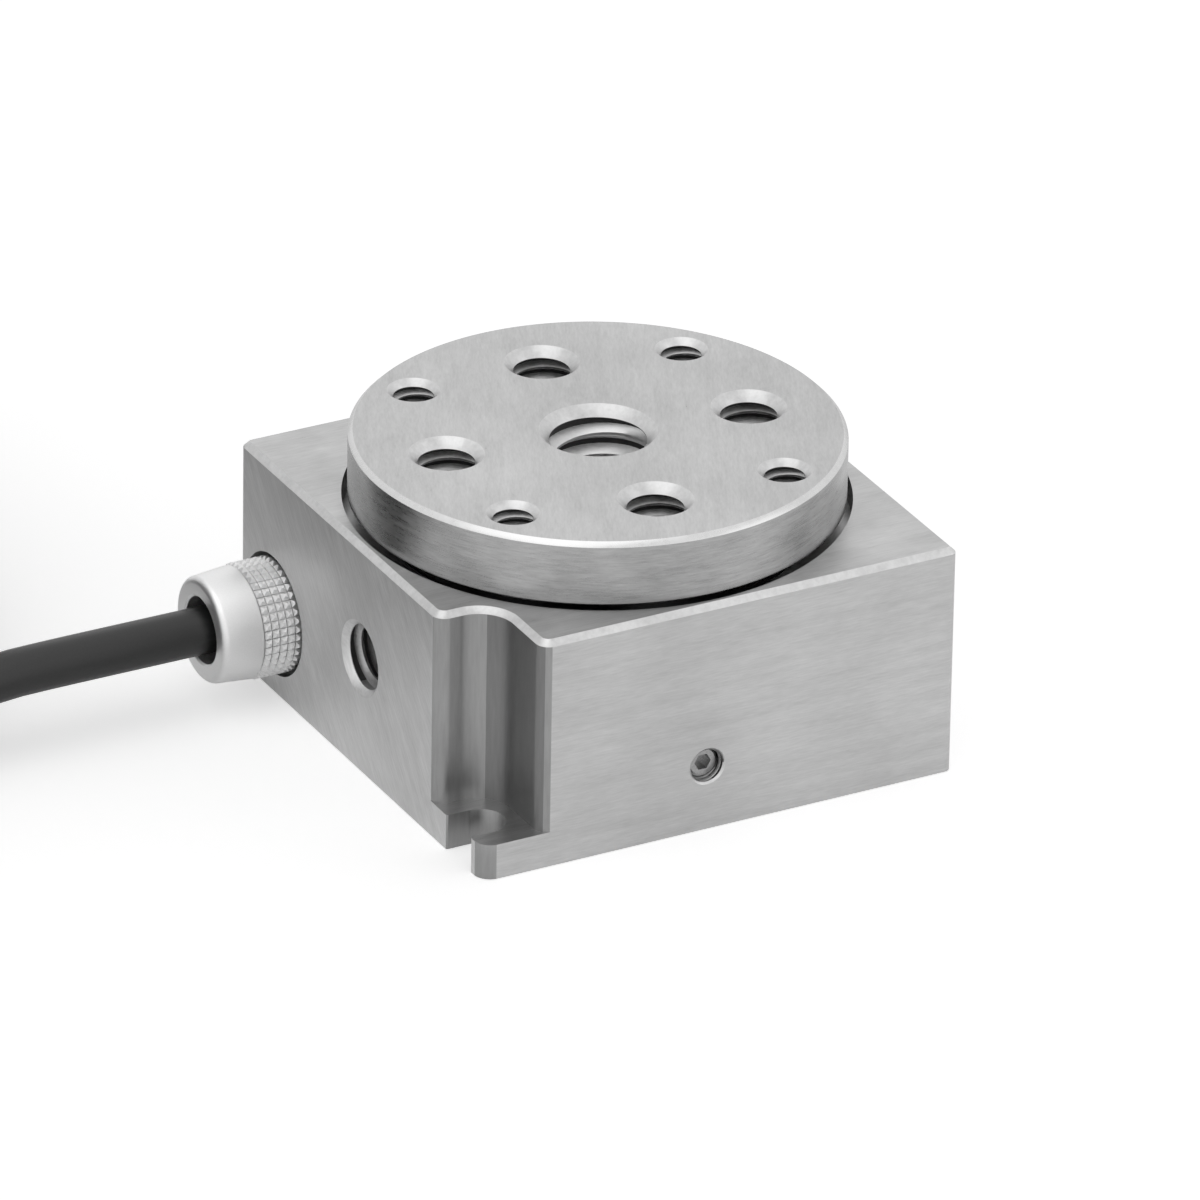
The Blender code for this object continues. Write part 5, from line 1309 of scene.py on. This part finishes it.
class STAGE_OT_collar(bpy.types.Operator):
    """Anodised collar of the cable's gland, with its band of knurling"""

    bl_idname = "stage.collar"
    bl_label = "Cable Collar"

    def execute(self, context):
        s = context.scene.stage_collar_sizes
        place = facing((-context.scene.stage_body_sizes.half, *GLAND), (-1, 0, 0))
        nose_radius = 3.15 * MM
        nose_round = 0.42 * MM
        nose_steps = 8
        bore = 2.73 * MM
        mouth = 1.99 * MM
        sunk = -0.4 * MM
        shoulder = s.reach - 1.4 * MM
        edge = s.band_start + s.band
        nose = []
        for k in range(nose_steps + 1):
            angle = math.pi / 2 * (1 - k / nose_steps)
            nose.append(
                (
                    nose_radius - nose_round + nose_round * math.cos(angle),
                    s.reach - nose_round + nose_round * math.sin(angle),
                )
            )
        profile = [
            *nose,
            (3.31 * MM, edge + 0.16 * MM),
            (3.29 * MM, edge + 0.04 * MM),
            (s.radius, edge),
            (s.radius, sunk),
            (bore, sunk),
            (bore, shoulder),
            (mouth, shoulder),
            (mouth, s.reach - 0.12 * MM),
            (2.1 * MM, s.reach - 0.015 * MM),
        ]
        collar = lathe("knurled_collar", profile, 128, place)
        painted(collar, "collar_aluminium")
        placed(sharp(collar, 34.0), "base", "cable_ferrule")
        cut = s.band - 0.06 * MM
        values = {
            "Radius": s.radius + s.tooth / 2 - 0.02 * MM,
            "Band": cut,
            "Rows": s.rows,
            "Teeth": s.teeth,
            "Tooth Height": s.tooth,
            "Tooth Length": cut / s.rows * 0.94,
        }
        knurl = tree_named("Knurl Teeth", knurl_tree).grown(
            "collar_knurl",
            "collar_aluminium",
            values,
            place @ Matrix.Translation((0, 0, s.band_start + 0.03 * MM)),
        )
        placed(knurl, "base")
        return {"FINISHED"}


CURVE_STEPS = 20  # points that the smooth curve has between two of its route
TURNS = 6.5
TURN_STEPS = 64
# Column and layer of each turn in the coil. The cable crosses from one to the next as it goes
# round, over CROSSING radians. The first crossing's middle comes EARLY before the turn ends, and
# each later one SHIFT earlier still.
TURN_ORDER = ((0, 0), (1, 0), (1, 1), (0, 1), (0, 2), (1, 2), (1, 3), (0, 3))
CROSSING = 0.8
EARLY = 0.4
SHIFT = 0.9
RUN_POINTS = 22
TAIL_POINTS = 34
# The cable from inside the gland towards the coil, as x and z in mm.
RUN = (
    (-11.5, 4.85),
    (-19.6, 4.85),
    (-28.5, 4.87),
    (-32.0, 4.8),
    (-35.2, 4.4),
    (-38.2, 3.7),
    (-41.6, 2.9),
    (-45.2, 2.35),
)
# The cable from the coil to inside the plug's boot, in mm.
TAIL = (
    (-45.4, 50.8, 11.1),
    (-41.0, 50.8, 12.0),
    (-36.0, 50.8, 13.3),
    (-31.2, 50.4, 14.8),
    (-24.2, 47.4, 16.6),
    (-21.2, 40.8, 18.4),
    (-24.2, 33.9, 19.8),
    (-28.5, 31.2, 20.25),
    (-31.0, 30.8, 20.3),
    (-33.7, 30.8, 20.3),
)


def smooth_line(route, count):
    """Points spaced evenly by length along a smooth curve through the route's points."""
    route = [Vector(point) for point in route]
    padded = [2 * route[0] - route[1], *route, 2 * route[-1] - route[-2]]
    fine = []
    for a, b, c, d in zip(padded, padded[1:], padded[2:], padded[3:]):
        for k in range(CURVE_STEPS):
            t = k / CURVE_STEPS
            straight = 2 * b + (c - a) * t
            bend = (2 * a - 5 * b + 4 * c - d) * t**2 + (3 * b - a - 3 * c + d) * t**3
            fine.append((straight + bend) / 2)
    fine.append(route[-1])
    lengths = [0.0]
    for a, b in zip(fine, fine[1:]):
        lengths.append(lengths[-1] + (b - a).length)
    spaced = []
    at = 0
    for k in range(count):
        goal = lengths[-1] * k / (count - 1)
        while at < len(fine) - 2 and lengths[at + 1] < goal:
            at += 1
        share = (goal - lengths[at]) / (lengths[at + 1] - lengths[at])
        spaced.append(fine[at].lerp(fine[at + 1], share))
    return spaced


def eased(value):
    value = min(1.0, max(0.0, value))
    return value * value * (3 - 2 * value)


def coil_line(s, centre):
    """The wound turns, from the lowest outer one to the highest outer one."""
    columns = (s.outer, s.outer - s.pitch)
    layers = [COIL_LOW[2] + s.pitch * (k + 0.5) for k in range(4)]
    points = []
    for step in range(int(TURNS * TURN_STEPS) + 1):
        phi = min(step / TURN_STEPS, TURNS) * 2 * math.pi
        radius = columns[TURN_ORDER[0][0]]
        height = layers[TURN_ORDER[0][1]]
        for k in range(1, len(TURN_ORDER)):
            middle = 2 * math.pi * k - EARLY - SHIFT * (k - 1)
            share = eased((phi - middle) / CROSSING + 0.5)
            radius += (columns[TURN_ORDER[k][0]] - columns[TURN_ORDER[k - 1][0]]) * share
            height += (layers[TURN_ORDER[k][1]] - layers[TURN_ORDER[k - 1][1]]) * share
        angle = -math.pi / 2 - phi
        spot = (centre[0] + radius * math.cos(angle), centre[1] + radius * math.sin(angle), height)
        points.append(Vector(spot))
    return points


def cord_line(s):
    """The cable's middle line, from inside the gland to inside the plug's boot."""
    y = GLAND[0]
    run = [Vector((x * MM, y, z * MM)) for x, z in RUN]
    centre = Vector(((COIL_LOW[0] + COIL_HIGH[0]) / 2, y + s.outer, 0.0))
    coil = coil_line(s, centre)
    tail = [Vector(point) * MM for point in TAIL]
    first = smooth_line([*run, coil[0]], RUN_POINTS)
    last = smooth_line([coil[-1], *tail], TAIL_POINTS)
    return [*first[:-1], *coil[:-1], *last]


CABLE_SIDES = 24


def tube_mesh(name, points, radius):
    """A closed round tube along the points."""
    curve = bpy.data.curves.new(name, "CURVE")
    curve.dimensions = "3D"
    curve.bevel_depth = radius
    curve.bevel_resolution = CABLE_SIDES // 4 - 1
    curve.use_fill_caps = True
    spline = curve.splines.new("POLY")
    spline.points.add(len(points) - 1)
    for point, place in zip(spline.points, points):
        point.co = (*place, 1.0)
    item = bpy.data.objects.new(name, curve)
    bpy.context.scene.collection.objects.link(item)
    return link(name, cleaned(baked(item)))


class STAGE_OT_cable(bpy.types.Operator):
    """Cable, wound into its coil, with the two ties round it"""

    bl_idname = "stage.cable"
    bl_label = "Cable"

    def execute(self, context):
        s = context.scene.stage_cord_sizes
        points = cord_line(s)
        cable = tube_mesh("signal_cable", points, s.radius)
        cable = sharp(painted(cable, "cable_jacket"), 60.0)
        placed(cable, "base", "cable_run", "cable_coil", "cable_tail")
        for k in (1, 2):
            tie = from_node(f"coil_tie_{k}", f"nylon_tie_{k}", 0.12 * MM)
            painted(tie, "tie_nylon")
            placed(tie, "base", f"coil_tie_{k}")
        return {"FINISHED"}


PLUG_YAW = math.radians(180.0)
PLUG_FRAME = Matrix.Translation((-58.5 * MM, 30.8 * MM, 20.3 * MM)) @ Matrix.Rotation(
    PLUG_YAW, 4, "Z"
)


def on_cable(item, body, *nodes):
    """A piece of the plug rides on its body and goes with the cable."""
    item["on_cable"] = True
    return placed(item, body, *nodes)


def knob_piece(name, side):
    """One thumbscrew of the plug, with a ribbed knob and a driver slot."""
    back = -0.3 * MM
    place = PLUG_FRAME @ Matrix.Translation((back, side * 12.495 * MM, 0)) @ along((1, 0, 0))
    whole = 13.0 * MM + 6.4 * MM - back
    thread = 1.4 * MM
    thread_foot = 1.18 * MM
    shank = 1.2 * MM
    pitch = 0.5 * MM
    knob_radius = 2.55 * MM
    knob_face = 2.3 * MM
    knob_end = 9.0 * MM
    knob_edge = 0.3 * MM
    profile = [(0.0, whole), (1.1 * MM, whole), (thread, whole - 0.3 * MM)]
    z = whole - pitch
    while z > whole - 5.2 * MM:
        profile += [(thread, z), (thread_foot, z - pitch / 2)]
        z -= pitch
    profile += [
        (shank, z),
        (shank, knob_end),
        (knob_face, knob_end),
        (knob_radius, knob_end - knob_edge),
        (knob_radius, knob_edge),
        (knob_face, 0.0),
        (0.0, 0.0),
    ]
    knob = lathe(name, profile, 64, place)
    corners = ((-3.0, -0.3), (3.0, -0.3), (3.0, 0.3), (-3.0, 0.3))
    slot = prism("slot", [Vector(point) * MM for point in corners], -MM, 0.9 * MM)
    slot.data.transform(place)
    knob = combined(knob, [slot], "DIFFERENCE")
    painted(knob, "screw_head_steel")
    ribs = tree_named("Knurl Teeth", knurl_tree).grown(
        name + "_ribs",
        "screw_head_steel",
        {
            "Radius": 2.6 * MM,
            "Band": 7.4 * MM,
            "Rows": 1,
            "Teeth": 36,
            "Tooth Height": 0.16 * MM,
            "Tooth Length": 7.2 * MM,
        },
        place @ Matrix.Translation((0, 0, 0.8 * MM)),
    )
    return sharp(knob), ribs


def ribbed_boot():
    """The rubber boot, with its rings."""
    length = 5.5
    tip = 2.4
    root = 3.6
    bore = 1.7 * MM
    stem = 2.4 * MM
    profile = [(bore, length * MM), (2.3 * MM, length * MM)]
    for k in range(3):
        z = 4.9 - 1.35 * k
        radius = tip + (root - tip) * (length - z) / length
        profile += [
            (radius * MM, z * MM),
            (radius * MM, (z - 0.7) * MM),
            ((radius - 0.35) * MM, (z - 0.8) * MM),
            ((radius - 0.3) * MM, (z - 1.25) * MM),
        ]
    profile += [
        (3.55 * MM, 0.9 * MM),
        (3.55 * MM, 0.2 * MM),
        (stem, 0.2 * MM),
        (stem, -2.0 * MM),
        (0.0, -2.0 * MM),
        (0.0, 2.5 * MM),
        (bore, 2.5 * MM),
    ]
    place = PLUG_FRAME @ Matrix.Translation((-22.0 * MM, 0, 0)) @ along((-1, 0, 0))
    return sharp(painted(lathe("ribbed_boot", profile, 64, place), "boot_rubber"))


class STAGE_OT_plug(bpy.types.Operator):
    """Plug with its hood, shell, insulator, contact pins, thumbscrews and boot"""

    bl_idname = "stage.plug"
    bl_label = "Plug"

    def execute(self, context):
        for node, name, width, finish in (
            ("plug_hood_lower", "hood_lower_half", 0.25 * MM, "hood_plastic"),
            ("plug_hood_upper", "hood_upper_half", 0.25 * MM, "hood_plastic"),
            ("plug_shell", "drawn_shell", 0.1 * MM, "plug_shell_steel"),
            ("hood_screw_1", "hood_screw_front", 0.06 * MM, "screw_head_steel"),
            ("hood_screw_2", "hood_screw_rear", 0.06 * MM, "screw_head_steel"),
        ):
            on_cable(painted(from_node(node, name, width), finish), "base", node)
        insulator = from_node("plug_insert", "pin_insulator")
        on_cable(painted(insulator, "insulator_plastic"), "base", "plug_insert")
        values = {
            "Pin Radius": 0.44 * MM,
            "Pin Length": 4.2 * MM,
            "Columns": 5,
            "Rows": 3,
            "Pitch": 2.29 * MM,
            "Row Pitch": 1.98 * MM,
        }
        place = PLUG_FRAME @ Matrix.Translation((12.9 * MM, 0, 0)) @ along((1, 0, 0))
        pins = tree_named("Contact Pins", pin_tree).grown(
            "contact_pins", "pin_gold", values, place
        )
        on_cable(pins, "base")
        for name, side, body, node in (
            ("left_thumbscrew", -1, "jackscrew_left", "plug_jackscrew_left"),
            ("right_thumbscrew", 1, "jackscrew_right", "plug_jackscrew_right"),
        ):
            knob, ribs = knob_piece(name, side)
            on_cable(knob, body, node)
            on_cable(ribs, body)
        on_cable(ribbed_boot(), "base", "plug_boot")
        return {"FINISHED"}


CARRIED = {
    "ring_steel": [
        "bearing_outer_ring",
        "bearing_inner_ring",
        *[f"bearing_ball_{k}" for k in range(1, 11)],
        "encoder_scale",
    ],
    # Black oxide on the leaf; on the retainer under the platform's gap it is also a painted shadow.
    "black_oxide": ["bearing_retainer", "preload_leaf"],
    "cage_brass": ["bearing_cage"],
    "hub_aluminium": ["rotor_hub"],
    "white_ceramic": ["drive_ring", "friction_tip"],
    "screw_head_steel": [
        *[f"cover_screw_{k}" for k in range(1, 5)],
        *[f"hub_screw_{k}" for k in range(1, 4)],
        "motor_screw_1",
        "motor_screw_2",
        "board_screw_1",
        "board_screw_2",
        "motor_stator",
        "gland_spigot",
    ],
    "piezo_ceramic": ["piezo_stack"],
    "circuit_board": ["encoder_board"],
    "insulator_plastic": ["encoder_sensor"],
    "lead_plastic": ["lead_header", "signal_lead_1", "signal_lead_2", "signal_lead_3"],
    "boot_rubber": ["cable_seal"],
}


class STAGE_OT_inner(bpy.types.Operator):
    """Finishes of the bearing, the motor, the encoder and the gland inside the body"""

    bl_idname = "stage.inner"
    bl_label = "Inner Pieces"

    def execute(self, context):
        made = finishes()
        for finish, nodes in CARRIED.items():
            for node in nodes:
                mesh = frame["nodes"][node].data
                mesh.materials.clear()
                mesh.materials.append(made[finish])
        return {"FINISHED"}


def area_light(name, place, aim, size, power):
    lamp = bpy.data.lights.new(name, "AREA")
    lamp.shape = "RECTANGLE"
    lamp.size, lamp.size_y = size
    lamp.energy = power
    item = bpy.data.objects.new(name, lamp)
    item.location = place
    item.rotation_euler = (Vector(aim) - Vector(place)).to_track_quat("-Z", "Y").to_euler()
    bpy.context.scene.collection.objects.link(item)
    return item


def seen_rays(tree, otherwise, straight, polished):
    """The strength for what the eye sees, for what a polished face sees, and for the rest."""
    paths = tree.nodes.new("ShaderNodeLightPath")
    before = otherwise
    for ray, strength in (("Is Glossy Ray", polished), ("Is Camera Ray", straight)):
        choice = tree.nodes.new("ShaderNodeMix")
        choice.data_type = "FLOAT"
        choice.inputs["B"].default_value = strength
        if isinstance(before, float):
            choice.inputs["A"].default_value = before
        else:
            tree.links.new(before, choice.inputs["A"])
        tree.links.new(paths.outputs[ray], choice.inputs["Factor"])
        before = choice.outputs["Result"]
    return before


def floor_material(levels):
    """A pale floor that the camera sees as white where it is lit, with soft shadows left."""
    floor = bpy.data.materials.new("pale_floor")
    floor.use_nodes = True
    tree = floor.node_tree
    tree.nodes.clear()
    out = tree.nodes.new("ShaderNodeOutputMaterial")
    diffuse = tree.nodes.new("ShaderNodeBsdfDiffuse")
    diffuse.inputs["Color"].default_value = (*levels.floor, 1.0)
    glow = tree.nodes.new("ShaderNodeEmission")
    glow.inputs["Color"].default_value = (1.0, 1.0, 1.0, 1.0)
    tree.links.new(seen_rays(tree, 0.0, 0.45, 0.15), glow.inputs["Strength"])
    both = tree.nodes.new("ShaderNodeAddShader")
    tree.links.new(diffuse.outputs[0], both.inputs[0])
    tree.links.new(glow.outputs[0], both.inputs[1])
    tree.links.new(both.outputs[0], out.inputs["Surface"])
    return floor


class STAGE_OT_studio(bpy.types.Operator):
    """Pale floor, soft studio light and the camera at the reference view"""

    bl_idname = "stage.studio"
    bl_label = "Studio"

    def execute(self, context):
        scene = context.scene
        levels = scene.stage_studio_levels
        mesh = bpy.data.meshes.new("floor")
        reach = 3.0
        mesh.from_pydata(
            [(-reach, -reach, 0), (reach, -reach, 0), (reach, reach, 0), (-reach, reach, 0)],
            [],
            [(0, 1, 2, 3)],
        )
        floor = link("floor", mesh, floor_material(levels))
        floor.location.z = -0.02 * MM
        lamps = [
            area_light("key_light", (-0.25, -0.1, 0.75), (0, 0, 0), (0.7, 0.7), levels.key),
            area_light("fill_light", (0.7, -0.55, 0.45), (0, 0, 0), (0.6, 0.6), levels.fill),
        ]
        world = bpy.data.worlds.new("studio_room")
        world.use_nodes = True
        tree = world.node_tree
        room = tree.nodes["Background"]
        room.inputs["Color"].default_value = (1.0, 1.0, 1.0, 1.0)
        tree.links.new(seen_rays(tree, levels.sky, 1.0, 1.0), room.inputs["Strength"])
        scene.world = world
        scene.camera = reference_camera(scene)
        scene.view_settings.view_transform = "Standard"
        return {"FINISHED"}


def reference_camera(scene):
    """The camera at the reference view's place, angle and lens."""
    right = Vector((0.88253791, -0.4699921, 0.01530532))
    up = Vector((0.20329854, 0.41069275, 0.8888201))
    back = Vector((-0.42402421, -0.78130588, 0.45800064))
    lens = bpy.data.cameras.new("reference_view")
    lens.sensor_width = 36.0
    lens.lens = 418.17
    lens.clip_start = 0.05
    lens.clip_end = 20.0
    camera = bpy.data.objects.new("reference_view", lens)
    turn = Matrix((right, up, back)).transposed().to_4x4()
    camera.matrix_world = Matrix.Translation(Vector((-334.754, -617.373, 369.139)) * MM) @ turn
    scene.collection.objects.link(camera)
    return camera


class STAGE_PT_panel(bpy.types.Panel):
    """Steps that build the stage, in order"""

    bl_idname = "STAGE_PT_panel"
    bl_label = "Rotation Stage"
    bl_space_type = "VIEW_3D"
    bl_region_type = "UI"
    bl_category = "Stage"

    def draw(self, context):
        for step in STEPS:
            self.layout.operator(step.bl_idname)
        for name in GROUPS:
            box = self.layout.box()
            values = getattr(context.scene, name)
            for key in values.__annotations__:
                box.prop(values, key)


STEPS = (
    STAGE_OT_inner,
    STAGE_OT_body,
    STAGE_OT_adjuster,
    STAGE_OT_table,
    STAGE_OT_collar,
    STAGE_OT_plug,
    STAGE_OT_cable,
    STAGE_OT_studio,
)
CLASSES = (*GROUPS.values(), *STEPS, STAGE_PT_panel)


def register():
    for item in CLASSES:
        bpy.utils.register_class(item)
    for name, group in GROUPS.items():
        setattr(bpy.types.Scene, name, PointerProperty(type=group))


def unregister():
    for name in GROUPS:
        delattr(bpy.types.Scene, name)
    for item in reversed(CLASSES):
        bpy.utils.unregister_class(item)


def main():
    register()
    bpy.ops.stage.inner()
    bpy.ops.stage.body()
    bpy.ops.stage.adjuster()
    bpy.ops.stage.table()
    bpy.ops.stage.collar()
    bpy.ops.stage.plug()
    bpy.ops.stage.cable()
    bpy.ops.stage.studio()


if __name__ == "__main__":
    main()
